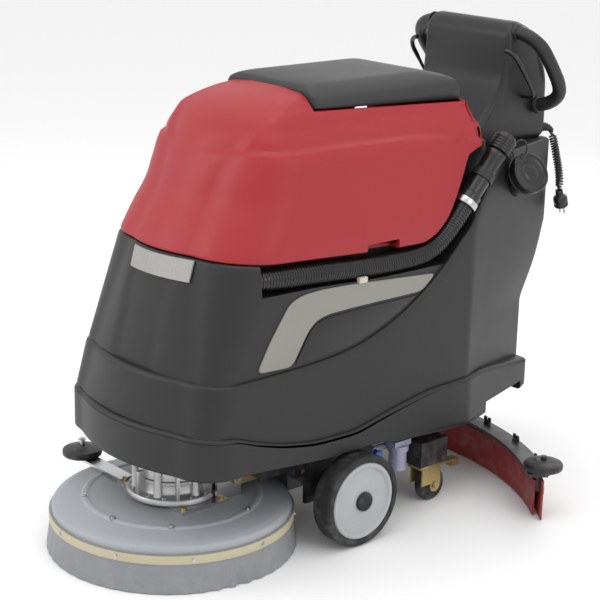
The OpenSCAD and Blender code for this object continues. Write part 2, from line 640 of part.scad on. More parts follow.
module gearmotor() along() color([0.6, 0.6, 0.61]) at_deck() difference() {
    union() {
        translate([0, 0, deck_z + 18]) cylinder(h = 12, r = 96);
        translate([0, 0, deck_z + 30]) cylinder(h = 62, r = 74);
        translate([0, 0, deck_z + 92]) cylinder(h = 78, d = motor_d);
        for (a = [0:60:300]) rotate([0, 0, a]) translate([76, 0, deck_z + 30]) cylinder(h = 60, r = 9);
    }
    translate([0, 0, 40]) cylinder(h = deck_z + 50, r = 12.5 + fit);
}
module deck_bracket() along() color([0.5, 0.5, 0.5]) {
    at_deck() difference() {
        slab(-112, 112, -60, 60, deck_z + 12, deck_z + 18);
        cylinder(h = 200, r = 32);
    }
    pair() difference() {
        union() {
            slab(arm_x - 8, arm_x - 1, -deck_y + 40, arm_y - arm_l + 13, deck_z + 12, arm_z + 13);
        }
        rod_x(arm_x - 10, arm_x, arm_y - arm_l, arm_z, 5);
    }
    pair() rod_x(arm_x - 8, arm_x + 9, arm_y - arm_l, arm_z, 6);
    // arm of the wall roller, on the right-hand side
    slab(-232, -100, -352, -318, deck_z + 18, deck_z + 23);
    roller_arm();
}
module roller_arm() {
    slab(-282, -210, -352, -318, deck_z + 18, deck_z + 23);
    translate([-265, -335, deck_z + 18]) cylinder(h = 40, r = 6);
}
module roller(at) translate(at) difference() {
    union() {
        cylinder(h = 14, d = roller_d);
        translate([0, 0, 14]) cylinder(h = 7, d1 = roller_d - 4, d2 = 34, $fn = 64);
    }
    translate([0, 0, -1]) cylinder(h = 30, r = 6 + fit);
}
module bumper_roller() along() color([0.06, 0.06, 0.07]) roller([-265, -335, deck_z + 23 + clear]);
module brush_plate() along() color([0.15, 0.15, 0.16]) at_deck() {
    translate([0, 0, 62]) cylinder(h = 16, r = deck_r - 22, $fn = 96);
    translate([0, 0, 78]) cylinder(h = 14, r = 26);
    translate([0, 0, 92]) cylinder(h = 40, r = 12.5);
}
module brush_bristles() along() color([0.12, 0.2, 0.42]) at_deck() difference() {
    translate([0, 0, 3]) cylinder(h = 59, r = deck_r - 24, $fn = 96);
    translate([0, 0, 0]) cylinder(h = 70, r = 92);
}
module deck_pedal() along() color([0.12, 0.12, 0.13]) {
    rod_x(-pedal_x - 28, -pedal_x + 28, pedal_y, pedal_z, 7);
    slab(-pedal_x - 18, -pedal_x + 18, pedal_y - 6, pedal_y + 82, pedal_z - 6, pedal_z + 5);
}

// ---- squeegee ------------------------------------------------------------------------------

function arch_angle(half) = asin(half / arch_r);
module arch(half, r0, r1, z0, z1) translate([0, arch_c, 0]) rotate([0, 0, 90 - arch_angle(half)])
    rotate_extrude(angle = 2 * arch_angle(half), $fn = 160)
        polygon([[r0, z0], [r1, z0], [r1, z1], [r0, z1]]);
roller_half = blade_half - 23;
roller_y = arch_c + sqrt(pow(arch_r, 2) - pow(roller_half, 2)) + 2;
module squeegee_plate() along() color([0.1, 0.1, 0.11]) difference() {
    union() {
        arch(blade_half - 10, arch_r - 34, arch_r + 10, plate_z, plate_z + plate_t);
        arch(blade_half - 16, arch_r - 14, arch_r - 4, 60, plate_z + 2);
        translate([0, arch_y - 8, plate_z + 1]) cylinder(h = 29, r = suction_d / 2 + 3);
        pair() translate([roller_half, roller_y, plate_z + 1]) {
            cylinder(h = 13, r = 17);
            cylinder(h = 43, r = 6);
        }
    }
    translate([0, arch_y - 8, 50]) cylinder(h = 100, r = suction_d / 2 - 3);
    for (a = [-33, -22, -11, 11, 22, 33]) translate([0, arch_c, 0]) rotate([0, 0, 90 + a])
        translate([arch_r + 2, 0, plate_z - 1]) cylinder(h = 12, r = 3.5);
}
module squeegee_blades() along() color([0.62, 0.12, 0.12]) {
    arch(blade_half, arch_r - 4, arch_r - 4 + blade_t, blade_gap, blade_top);
    arch(blade_half - 20, arch_r - 14 - blade_t, arch_r - 14, blade_gap + 1, blade_top - 8);
}
module blade_strap() along() color([0.45, 0.43, 0.25])
    arch(blade_half - 6, arch_r - 4 + blade_t, arch_r - 1.6 + blade_t, 58, 74);
module wing_screws() along() color([0.1, 0.1, 0.11])
    for (a = [-33, -22, -11, 11, 22, 33]) translate([0, arch_c, 0]) rotate([0, 0, 90 + a])
        translate([arch_r + 2, 0, 0]) {
            translate([0, 0, plate_z - 1]) cylinder(h = plate_t + 2, r = 3.5);
            translate([0, 0, plate_z + plate_t]) cylinder(h = 6, r = 8);
            translate([-2, -12, plate_z + plate_t + 5]) cube([4, 24, 10]);
        }
module squeegee_bracket() along() color([0.7, 0.62, 0.4]) {
    slab(-46, 46, lift_y + 40, arch_y - 34, plate_z + plate_t, plate_z + plate_t + 6);
    pair() difference() {
        union() {
            rod_x(54, 61, lift_y, lift_z, 13);
            slab(40, 61, lift_y + 14, lift_y + 44, plate_z + plate_t, lift_z + 13);
            slab(54, 61, lift_y, lift_y + 30, lift_z - 13, lift_z + 13);
        }
        rod_x(0, 100, lift_y, lift_z, 5);
    }
    rod_x(-70, 70, lift_y, lift_z, 6);
    pair() slab(20, 46, arch_y - 38, arch_y - 26, plate_z + plate_t, plate_z + plate_t + 6);
    pair() translate([33, arch_y - 32, plate_z + plate_t + 3]) cylinder(h = 12, r = 7);
}
module end_roller(side)
    roller([side * roller_half, roller_y, plate_z + 14 + clear]);
module roller_left() along() color([0.06, 0.06, 0.07]) end_roller(1);
module roller_right() along() color([0.06, 0.06, 0.07]) end_roller(-1);

// ---- wheels and casters --------------------------------------------------------------------

module tyre() color([0.07, 0.07, 0.08]) translate([wheel_in, 0, wheel_r]) rotate([0, 90, 0])
    difference() {
        rotate_extrude($fn = 96) polygon([
            [rim_d / 2 - 6, 3], [wheel_r - 8, 0], [wheel_r - 2, 3], [wheel_r, 9],
            [wheel_r, wheel_w - 9], [wheel_r - 2, wheel_w - 3], [wheel_r - 8, wheel_w],
            [rim_d / 2 - 6, wheel_w - 3]]);
        translate([0, 0, -1]) cylinder(h = wheel_w + 2, d = rim_d, $fn = 96);
    }
module rim() color([0.66, 0.66, 0.67]) translate([wheel_in, 0, wheel_r]) rotate([0, 90, 0])
    difference() {
        union() {
            rotate_extrude($fn = 96) polygon([
                [0, 6], [rim_d / 2, 4], [rim_d / 2, wheel_w - 4], [rim_d / 2 - 8, wheel_w - 1],
                [rim_d / 2 - 12, wheel_w - 6], [40, wheel_w - 8], [30, wheel_w - 4],
                [0, wheel_w - 4]]);
            cylinder(h = wheel_w + 4, r = 21);
        }
        translate([0, 0, -1]) cylinder(h = wheel_w - 8 + clear, r = axle_d / 2 + fit);
    }
module tyre_left() along() tyre();
module tyre_right() along() mirror([1, 0, 0]) tyre();
module rim_left() along() rim();
module rim_right() along() mirror([1, 0, 0]) rim();

caster_r = caster_d / 2;
fork_top = caster_d + 9;
module at_caster() translate([caster_x, caster_y, 0]) children();
module caster_fork() color([0.72, 0.63, 0.38]) at_caster() difference() {
    union() {
        translate([0, 0, fork_top + 4]) cylinder(h = 4.5, r = 24);
        translate([0, 0, fork_top + 5]) cylinder(h = rail_z - fork_top - 15, r = 8);
        slab(-caster_w / 2 - 6, caster_w / 2 + 6, -22, caster_trail + 16, fork_top, fork_top + 4);
        for (s = [-1, 1]) translate([s * (caster_w / 2 + 4), 0, 0]) union() {
            slab(-2, 2, -14, caster_trail + 16, caster_r + 6, fork_top + 0.01);
            rod_x(-2, 2, caster_trail, caster_r, 15);
            slab(-2, 2, caster_trail - 15, caster_trail + 15, caster_r, fork_top);
        }
        rod_x(-caster_w / 2 - 8, caster_w / 2 + 8, caster_trail, caster_r, 5);
    }
    rod_x(-caster_w / 2 - 7, caster_w / 2 + 7, caster_trail + 12, fork_top - 6, 3 + fit);
}
module caster_wheel() color([0.09, 0.09, 0.1]) at_caster() difference() {
    union() {
        rod_x(-caster_w / 2 + 1, caster_w / 2 - 1, caster_trail, caster_r, caster_r);
        rod_x(-caster_w / 2 - 1, caster_w / 2 + 1, caster_trail, caster_r, 12);
    }
    rod_x(-caster_w, caster_w, caster_trail, caster_r, 5 + fit);
}
module caster_pedal() color([0.75, 0.66, 0.4]) at_caster() {
    rod_x(-caster_w / 2 - 6, caster_w / 2 + 6, caster_trail + 12, fork_top - 6, 3);
    slab(-11, 11, caster_trail + 8, caster_trail + 66, fork_top - 7, fork_top - 2);
    slab(-11, 11, caster_trail + 62, caster_trail + 84, fork_top - 20, fork_top - 4);
}
module caster_fork_left() along() caster_fork();
module caster_fork_right() along() mirror([1, 0, 0]) caster_fork();
module caster_wheel_left() along() caster_wheel();
module caster_wheel_right() along() mirror([1, 0, 0]) caster_wheel();
module caster_pedal_left() along() caster_pedal();
module caster_pedal_right() along() mirror([1, 0, 0]) caster_pedal();

// ---- solution filter -----------------------------------------------------------------------

module solution_filter() along() color([0.7, 0.72, 0.8]) difference() {
    union() {
        translate([200, 170, 108]) cylinder(h = 44, r = 20);
        translate([200, 170, 152]) cylinder(h = 12, r = 24);
        slab(184, 216, 146, 194, 164, 176);
        slab(rail_x, 186, 160, 180, 166, 172);
        rod_x(rail_x, 190, 110, 158, 9);
        translate([178, 110, 158]) rotate([-90, 0, 0]) cylinder(h = 50, r = 7);
    }
    translate([200, 170, 112]) cylinder(h = 44, r = 17);
}
module valve_handle() along() color([0.1, 0.25, 0.6]) {
    rod_x(190 + clear, 200, 110, 158, 6);
    slab(200, 205, 100, 120, 130, 162);
}

chassis_frame();
solution_tank();
console_shell();
control_panel();
name_plate();
side_stripes();
side_insets();
drain_hose();
drain_cuff();
drain_collar();
filler_neck();
drive_transaxle();
wheel_axle();
batteries();
suction_motor();
battery_charger();
cord_gland();
charger_cord();
charger_plug();
hand_grips();
solution_filter();
suction_hose();
filler_cap();
recovery_tank();
float_cage();
tank_lid();
lid_seal();
start_lever();
squeegee_lever();
deck_pedal();
key();
button_brush();
button_suction();
valve_handle();
deck_arms();
deck_cover();
skirt_strap();
deck_skirt();
gearmotor();
deck_bracket();
bumper_roller();
brush_plate();
brush_bristles();
squeegee_bracket();
squeegee_plate();
squeegee_blades();
blade_strap();
wing_screws();
roller_left();
roller_right();
caster_fork_left();
caster_fork_right();
caster_wheel_left();
caster_wheel_right();
caster_pedal_left();
caster_pedal_right();
tyre_left();
tyre_right();
rim_left();
rim_right();
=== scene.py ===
import json
import math

import bmesh
import bpy
from mathutils import Matrix, Vector


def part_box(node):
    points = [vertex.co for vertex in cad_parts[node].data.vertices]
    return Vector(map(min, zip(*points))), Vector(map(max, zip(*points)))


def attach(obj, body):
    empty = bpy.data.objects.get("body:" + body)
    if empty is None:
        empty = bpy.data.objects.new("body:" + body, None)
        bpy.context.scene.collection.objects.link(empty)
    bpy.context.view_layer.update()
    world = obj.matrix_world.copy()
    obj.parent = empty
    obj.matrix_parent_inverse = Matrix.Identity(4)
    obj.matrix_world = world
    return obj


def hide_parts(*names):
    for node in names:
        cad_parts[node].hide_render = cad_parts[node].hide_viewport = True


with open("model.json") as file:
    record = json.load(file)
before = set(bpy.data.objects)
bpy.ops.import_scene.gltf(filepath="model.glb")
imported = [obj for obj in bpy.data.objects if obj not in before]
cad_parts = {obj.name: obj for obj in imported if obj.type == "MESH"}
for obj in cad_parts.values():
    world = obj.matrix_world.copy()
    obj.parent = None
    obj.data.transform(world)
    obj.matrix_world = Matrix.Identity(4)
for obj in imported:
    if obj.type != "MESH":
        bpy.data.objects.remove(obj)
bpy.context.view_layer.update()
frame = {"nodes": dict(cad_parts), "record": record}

scene = bpy.context.scene
nodes = frame["nodes"]
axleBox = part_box("wheel_axle")
axleY = (axleBox[0].y + axleBox[1].y) / 2
print("frame loaded")


# Everything below is in millimetres from the axle, on the floor; at() turns it into the frame's metres.
def at(point):
    return Vector((point[0] / 1000, axleY + point[1] / 1000, point[2] / 1000))


# Camera and light.
view = {"azimuth": 48.0, "elevation": 16.5, "roll": 1.4, "place": (2559.88, -2250.69, 1483.38), "lens": 99.8}


def makeCamera():
    data = bpy.data.cameras.new("camera")
    data.lens = view["lens"]
    data.sensor_width = 36
    data.clip_end = 50
    camera = bpy.data.objects.new("camera", data)
    scene.collection.objects.link(camera)
    a, e, r = (math.radians(view[k]) for k in ("azimuth", "elevation", "roll"))
    forward = Vector((-math.sin(a) * math.cos(e), math.cos(a) * math.cos(e), -math.sin(e)))
    right = forward.cross(Vector((0, 0, 1))).normalized()
    up = right.cross(forward)
    right, up = right * math.cos(r) + up * math.sin(r), up * math.cos(r) - right * math.sin(r)
    turn = Matrix((right, up, -forward)).transposed().to_4x4()
    camera.matrix_world = Matrix.Translation(at(view["place"])) @ turn
    scene.camera = camera


lights = {  # place, aim, width in metres, watts
    "overhead": ((0.4, -0.4, 3.4), (0, 0, 0.5), 2.8, 30),
    "leftSide": ((-1.8, -2.9, 2.2), (0, 0, 0.5), 1.8, 22),
    "rightSide": ((3.2, 0.4, 2.0), (0, 0, 0.6), 1.6, 12),
    "behind": ((-1.0, 2.8, 2.4), (0, 0, 0.6), 2.0, 16),
}
room = {"glow": 0.95, "floorHalf": 24, "floorShade": 0.94, "floorRough": 0.75}


def makeLight(name, place, aim, size, power):
    data = bpy.data.lights.new(name, "AREA")
    data.size = size
    data.energy = power
    light = bpy.data.objects.new(name, data)
    light.location = place
    light.rotation_euler = (Vector(aim) - Vector(place)).to_track_quat("-Z", "Y").to_euler()
    scene.collection.objects.link(light)


makeCamera()
for lightName, values in lights.items():
    makeLight(lightName, *values)
world = bpy.data.worlds.new("studio")
scene.world = world
world.use_nodes = True
world.node_tree.nodes["Background"].inputs["Color"].default_value = (1, 1, 1, 1)
world.node_tree.nodes["Background"].inputs["Strength"].default_value = room["glow"]
scene.view_settings.view_transform = "Standard"
print("camera and lights made")


# Small shapes; each gives (points, faces).
def lerp(a, b, t):
    return a + (b - a) * t


def step(x):
    x = min(1.0, max(0.0, x))
    return x * x * (3 - 2 * x)


def curveAt(points, x):  # smooth curve through points, read at x
    if x <= points[0][0]:
        return points[0][1]
    if x >= points[-1][0]:
        return points[-1][1]
    i = max(k for k in range(len(points) - 1) if points[k][0] <= x)

    def slope(k):
        if k == 0 or k == len(points) - 1:
            j = min(k, len(points) - 2)
            return (points[j + 1][1] - points[j][1]) / (points[j + 1][0] - points[j][0])
        before = (points[k][1] - points[k - 1][1]) / (points[k][0] - points[k - 1][0])
        after = (points[k + 1][1] - points[k][1]) / (points[k + 1][0] - points[k][0])
        return 0 if before * after <= 0 else 2 * before * after / (before + after)
    (x0, y0), (x1, y1) = points[i], points[i + 1]
    h = x1 - x0
    t = (x - x0) / h
    return ((2 * t ** 3 - 3 * t ** 2 + 1) * y0 + (t ** 3 - 2 * t ** 2 + t) * h * slope(i)
            + (3 * t ** 2 - 2 * t ** 3) * y1 + (t ** 3 - t ** 2) * h * slope(i + 1))


def skin(rows, closed=True):
    n = len(rows[0])
    faces = []
    for i in range(len(rows) - 1):
        for k in range(n if closed else n - 1):
            a, b = i * n + k, i * n + (k + 1) % n
            faces.append((a, b, b + n, a + n))
    return [Vector(p) for row in rows for p in row], faces


def capped(rows):  # closed rings, with a fan over both ends
    points, faces = skin(rows)
    n = len(rows[0])
    for first, ring in ((0, rows[0]), ((len(rows) - 1) * n, rows[-1])):
        points.append(sum((Vector(p) for p in ring), Vector()) / n)
        hub = len(points) - 1
        faces += [(hub, first + k, first + (k + 1) % n) for k in range(n)]
    return points, faces


def bridged(rows):  # rings that mirror left and right, closed over by chords
    points, faces = skin(rows)
    n = len(rows[0])
    for first in (0, (len(rows) - 1) * n):
        for k in range(n // 2 - 1):
            faces.append((first + k, first + k + 1, first + n - 2 - k, first + n - 1 - k))
    return points, faces


def rounded(corners, radius, steps=4, loop=False):
    out = []
    count = len(corners)
    for i, p in enumerate(corners):
        if not loop and i in (0, count - 1):
            out.append(tuple(p))
            continue
        p, a, b = Vector(p), Vector(corners[i - 1]), Vector(corners[(i + 1) % count])
        r = min(radius, (a - p).length * 0.48, (b - p).length * 0.48)
        start, end = p + (a - p).normalized() * r, p + (b - p).normalized() * r
        for k in range(steps + 1):
            t = k / steps
            out.append(tuple(start * (1 - t) ** 2 + p * 2 * t * (1 - t) + end * t ** 2))
    return out


def lathe(profile, centre, axis=(0, 0, 1), sides=48, loop=False, wobble=None):
    z = Vector(axis).normalized()
    x = Vector((0, 1, 0)) if abs(z.x) > 0.9 else Vector((1, 0, 0))
    x = (x - z * x.dot(z)).normalized()
    y = z.cross(x)
    rows = []
    for r, h in profile:
        ring = []
        for k in range(sides):
            t = 2 * math.pi * k / sides
            grown = r + (wobble(t, h) if wobble else 0)
            ring.append(Vector(centre) + z * h + (x * math.cos(t) + y * math.sin(t)) * grown)
        rows.append(ring)
    return skin(rows + [rows[0]]) if loop else capped(rows)


def rod(a, b, radius, sides=24, edge=0.8):
    a, b = Vector(a), Vector(b)
    h = (b - a).length
    profile = [(radius - edge, 0), (radius, edge), (radius, h - edge), (radius - edge, h)]
    return lathe(profile, a, b - a, sides)


def smoothPath(points, pitch):
    pts = [Vector(p) for p in points]
    pts = [pts[0] * 2 - pts[1]] + pts + [pts[-1] * 2 - pts[-2]]
    out = []
    for i in range(1, len(pts) - 2):
        a, b, c, d = pts[i - 1:i + 3]
        count = max(1, round((c - b).length / pitch))
        for k in range(count):
            t = k / count
            out.append(0.5 * (2 * b + (c - a) * t + (2 * a - 5 * b + 4 * c - d) * t * t
                              + (3 * b - a - 3 * c + d) * t ** 3))
    return out + [pts[-2]]


def tube(path, radius, sides=16):
    path = [Vector(p) for p in path]
    side = None
    rows = []
    for i, p in enumerate(path):
        along = (path[min(i + 1, len(path) - 1)] - path[max(i - 1, 0)]).normalized()
        side = along.orthogonal() if side is None else side - along * side.dot(along)
        side.normalize()
        other = along.cross(side)
        r = radius(i / (len(path) - 1)) if callable(radius) else radius
        turns = [2 * math.pi * k / sides for k in range(sides)]
        rows.append([p + (side * math.cos(t) + other * math.sin(t)) * r for t in turns])
    return capped(rows)


def block(x0, x1, y0, y1, z0, z1, edge=1.0, turn=None):
    bm = bmesh.new()
    bmesh.ops.create_cube(bm, size=1)
    size = Vector((x1 - x0, y1 - y0, z1 - z0))
    middle = Vector((x0 + x1, y0 + y1, z0 + z1)) / 2
    for v in bm.verts:
        v.co = Vector((v.co.x * size.x, v.co.y * size.y, v.co.z * size.z)) + middle
    if edge:
        bmesh.ops.bevel(bm, geom=list(bm.edges), offset=edge, segments=2, profile=0.7, affect="EDGES")
    if turn:
        bmesh.ops.transform(bm, matrix=turn, verts=list(bm.verts))
    bm.verts.index_update()
    shell = [v.co.copy() for v in bm.verts], [tuple(v.index for v in f.verts) for f in bm.faces]
    bm.free()
    return shell


def mirrored(shell):
    return [Vector((-p.x, p.y, p.z)) for p in shell[0]], [tuple(reversed(f)) for f in shell[1]]


def both(shells):
    return shells + [mirrored(s) for s in shells]


def toMesh(name, shells, weld=0.01):
    points, faces = [], []
    for shellPoints, shellFaces in shells:
        base = len(points)
        points += [at(p) for p in shellPoints]
        faces += [tuple(base + i for i in f) for f in shellFaces]
    mesh = bpy.data.meshes.new(name)
    mesh.from_pydata(points, [], faces)
    bm = bmesh.new()
    bm.from_mesh(mesh)
    bmesh.ops.remove_doubles(bm, verts=list(bm.verts), dist=weld / 1000)
    bmesh.ops.recalc_face_normals(bm, faces=list(bm.faces))
    bm.to_mesh(mesh)
    bm.free()
    return mesh


def newObject(name, mesh):
    obj = bpy.data.objects.new(name, mesh)
    scene.collection.objects.link(obj)
    return obj


def settle(obj, body, slotName, replaced=(), angle=38):
    obj.data.materials.clear()
    obj.data.materials.append(finish[slotName])
    for polygon in obj.data.polygons:
        polygon.use_smooth = True
    obj.data.set_sharp_from_angle(angle=math.radians(angle))
    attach(obj, body)
    if replaced:
        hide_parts(*replaced)
    return obj


def piece(name, shells, body, slotName, replaced=(), angle=38):
    return settle(newObject(name, toMesh(name, shells)), body, slotName, replaced, angle)


def carved(name, added, removed):  # closed shapes joined, then others cut away
    obj = newObject(name, toMesh(name, [added[0]]))
    tools = []
    jobs = [(shell, "UNION") for shell in added[1:]] + [(shell, "DIFFERENCE") for shell in removed]
    for i, (shell, how) in enumerate(jobs):
        tool = newObject(f"{name}Tool{i}", toMesh(f"{name}Tool{i}", [shell]))
        tools.append(tool)
        modifier = obj.modifiers.new(f"cut{i}", "BOOLEAN")
        modifier.object = tool
        modifier.operation = how
        modifier.solver = "MANIFOLD"
    mesh = bpy.data.meshes.new_from_object(obj.evaluated_get(bpy.context.evaluated_depsgraph_get()))
    obj.modifiers.clear()
    obj.data = mesh
    for tool in tools:
        bpy.data.objects.remove(tool)
    return obj


# Finishes.
def startGroup(name, inputs, outputs):
    tree = bpy.data.node_groups.new(name, "ShaderNodeTree")
    for label, kind, value in inputs:
        socket = tree.interface.new_socket(name=label, in_out="INPUT", socket_type="NodeSocket" + kind)
        if value is not None:
            socket.default_value = value
    for label, kind in outputs:
        tree.interface.new_socket(name=label, in_out="OUTPUT", socket_type="NodeSocket" + kind)
    return tree, tree.nodes.new("NodeGroupInput"), tree.nodes.new("NodeGroupOutput")


def calc(tree, operation, a, b):
    node = tree.nodes.new("ShaderNodeMath")
    node.operation = operation
    for socket, value in zip(node.inputs, (a, b)):
        if isinstance(value, (int, float)):
            socket.default_value = value
        else:
            tree.links.new(value, socket)
    return node.outputs[0]


def noise(tree, vector, scale, detail):
    node = tree.nodes.new("ShaderNodeTexNoise")
    node.inputs["Detail"].default_value = detail
    tree.links.new(vector, node.inputs["Vector"])
    if isinstance(scale, (int, float)):
        node.inputs["Scale"].default_value = scale
    else:
        tree.links.new(scale, node.inputs["Scale"])
    return node.outputs["Fac"]


def blendColour(tree, factor, first, second):
    node = tree.nodes.new("ShaderNodeMix")
    node.data_type = "RGBA"
    for socket, value in ((node.inputs[0], factor), (node.inputs[6], first), (node.inputs[7], second)):
        if isinstance(value, tuple):
            socket.default_value = value
        else:
            tree.links.new(value, socket)
    return node.outputs[2]


def makeSkinGroup():  # grain, slow colour drift and a change of gloss from place to place
    tree, inside, out = startGroup("mouldedSkin", [
        ("Vector", "Vector", None), ("Color", "Color", (0.5, 0.5, 0.5, 1)), ("Grain", "Float", 700.0),
        ("Drift", "Float", 0.2), ("Roughness", "Float", 0.5), ("Spread", "Float", 0.1)],
        [("Color", "Color"), ("Roughness", "Float"), ("Height", "Float")])
    vector = inside.outputs["Vector"]
    slow = noise(tree, vector, 6.0, 3)
    fine = noise(tree, vector, inside.outputs["Grain"], 2)
    shade = tree.nodes.new("ShaderNodeHueSaturation")
    tree.links.new(inside.outputs["Color"], shade.inputs["Color"])
    swing = calc(tree, "MULTIPLY", calc(tree, "SUBTRACT", slow, 0.5), inside.outputs["Drift"])
    speck = calc(tree, "MULTIPLY", calc(tree, "SUBTRACT", fine, 0.5), 0.35)
    tree.links.new(calc(tree, "ADD", calc(tree, "ADD", swing, speck), 1.0), shade.inputs["Value"])
    tree.links.new(shade.outputs["Color"], out.inputs["Color"])
    gloss = calc(tree, "MULTIPLY", calc(tree, "SUBTRACT", slow, 0.5), inside.outputs["Spread"])
    tree.links.new(calc(tree, "ADD", gloss, inside.outputs["Roughness"]), out.inputs["Roughness"])
    tree.links.new(fine, out.inputs["Height"])
    return tree


def makeDustGroup():  # dust low down and small pale rubs
    tree, inside, out = startGroup("dustAndRubs", [
        ("Vector", "Vector", None), ("Color", "Color", (0.5, 0.5, 0.5, 1)),
        ("Dust", "Color", (0.4, 0.38, 0.35, 1)), ("Reach", "Float", 0.25), ("Amount", "Float", 0.2)],
        [("Color", "Color"), ("Mask", "Float")])
    split = tree.nodes.new("ShaderNodeSeparateXYZ")
    tree.links.new(inside.outputs["Vector"], split.inputs[0])
    low = tree.nodes.new("ShaderNodeMapRange")
    tree.links.new(split.outputs["Z"], low.inputs["Value"])
    tree.links.new(inside.outputs["Reach"], low.inputs["From Max"])
    low.inputs["To Min"].default_value = 1
    low.inputs["To Max"].default_value = 0.15
    patches = noise(tree, inside.outputs["Vector"], 38.0, 5)
    picked = tree.nodes.new("ShaderNodeMapRange")
    tree.links.new(patches, picked.inputs["Value"])
    picked.inputs["From Min"].default_value = 0.45
    picked.inputs["From Max"].default_value = 0.75
    lowPatches = calc(tree, "MULTIPLY", picked.outputs[0], low.outputs[0])
    mask = calc(tree, "MULTIPLY", lowPatches, inside.outputs["Amount"])
    dusted = blendColour(tree, mask, inside.outputs["Color"], inside.outputs["Dust"])
    tree.links.new(dusted, out.inputs["Color"])
    tree.links.new(mask, out.inputs["Mask"])
    return tree


skinGroup = makeSkinGroup()
dustGroup = makeDustGroup()

finishes = {  # slot: colour, roughness, metallic, grain per metre, bump depth in mm, colour drift, dust, coat
    "frame_steel": ((0.011, 0.011, 0.012), 0.42, 0.0, 260, 0.15, 0.2, 0.25, 0.2),
    "body_black": ((0.009, 0.0093, 0.0103), 0.46, 0.0, 900, 0.2, 0.3, 0.02, 0.0),
    "console_black": ((0.0105, 0.0108, 0.0115), 0.44, 0.0, 900, 0.18, 0.25, 0.01, 0.0),
    "panel_grey": ((0.05, 0.052, 0.058), 0.4, 0.0, 700, 0.08, 0.1, 0.0, 0.1),
    "plate_grey": ((0.36, 0.355, 0.34), 0.36, 0.5, 300, 0.05, 0.1, 0.0, 0.0),
    "stripe_silver": ((0.27, 0.26, 0.235), 0.4, 0.25, 800, 0.04, 0.08, 0.0, 0.0),
    "inset_black": ((0.0012, 0.0012, 0.0014), 0.22, 0.0, 600, 0.02, 0.1, 0.0, 0.1),
    "hose_black": ((0.007, 0.007, 0.0075), 0.28, 0.0, 500, 0.05, 0.2, 0.05, 0.15),
    "motor_grey": ((0.13, 0.13, 0.14), 0.5, 0.3, 400, 0.3, 0.2, 0.2, 0.0),
    "steel": ((0.55, 0.55, 0.56), 0.28, 1.0, 350, 0.05, 0.1, 0.1, 0.0),
    "battery_case": ((0.02, 0.02, 0.022), 0.5, 0.0, 500, 0.1, 0.2, 0.1, 0.0),
    "tank_red": ((0.34, 0.011, 0.017), 0.46, 0.0, 1000, 0.14, 0.12, 0.01, 0.0),
    "lid_grey": ((0.022, 0.022, 0.0235), 0.46, 0.0, 900, 0.2, 0.2, 0.02, 0.0),
    "seal_rubber": ((0.01, 0.01, 0.01), 0.7, 0.0, 500, 0.1, 0.1, 0.05, 0.0),
    "cover_grey": ((0.34, 0.355, 0.38), 0.45, 0.0, 800, 0.1, 0.12, 0.06, 0.0),
    "strap_cream": ((0.5, 0.45, 0.3), 0.5, 0.0, 900, 0.15, 0.2, 0.2, 0.0),
    "skirt_grey": ((0.23, 0.24, 0.255), 0.5, 0.0, 400, 0.15, 0.2, 0.2, 0.0),
    "cast_alloy": ((0.5, 0.5, 0.5), 0.38, 0.85, 330, 0.35, 0.3, 0.2, 0.0),
    "bristle_blue": ((0.02, 0.06, 0.2), 0.55, 0.0, 500, 0.1, 0.3, 0.2, 0.0),
    "zinc": ((0.55, 0.44, 0.2), 0.3, 0.9, 200, 0.08, 0.3, 0.15, 0.0),
    "blade_red": ((0.25, 0.01, 0.014), 0.5, 0.0, 500, 0.1, 0.2, 0.2, 0.0),
    "strap_olive": ((0.3, 0.27, 0.11), 0.36, 0.7, 300, 0.06, 0.2, 0.2, 0.0),
    "tyre_rubber": ((0.009, 0.009, 0.0095), 0.62, 0.0, 450, 0.25, 0.2, 0.25, 0.0),
    "rim_grey": ((0.4, 0.41, 0.42), 0.4, 0.0, 700, 0.1, 0.1, 0.2, 0.05),
    "caster_rubber": ((0.01, 0.01, 0.011), 0.5, 0.0, 450, 0.15, 0.2, 0.3, 0.0),
    "filter_clear": ((0.3, 0.3, 0.42), 0.12, 0.0, 200, 0.02, 0.3, 0.0, 0.6),
    "button_green": ((0.03, 0.3, 0.08), 0.3, 0.0, 500, 0.03, 0.1, 0.0, 0.3),
    "button_blue": ((0.03, 0.12, 0.45), 0.3, 0.0, 500, 0.03, 0.1, 0.0, 0.3),
    "valve_blue": ((0.02, 0.1, 0.45), 0.35, 0.0, 500, 0.05, 0.1, 0.05, 0.2),
    "cage_cream": ((0.55, 0.53, 0.45), 0.5, 0.0, 600, 0.1, 0.1, 0.1, 0.0),
}


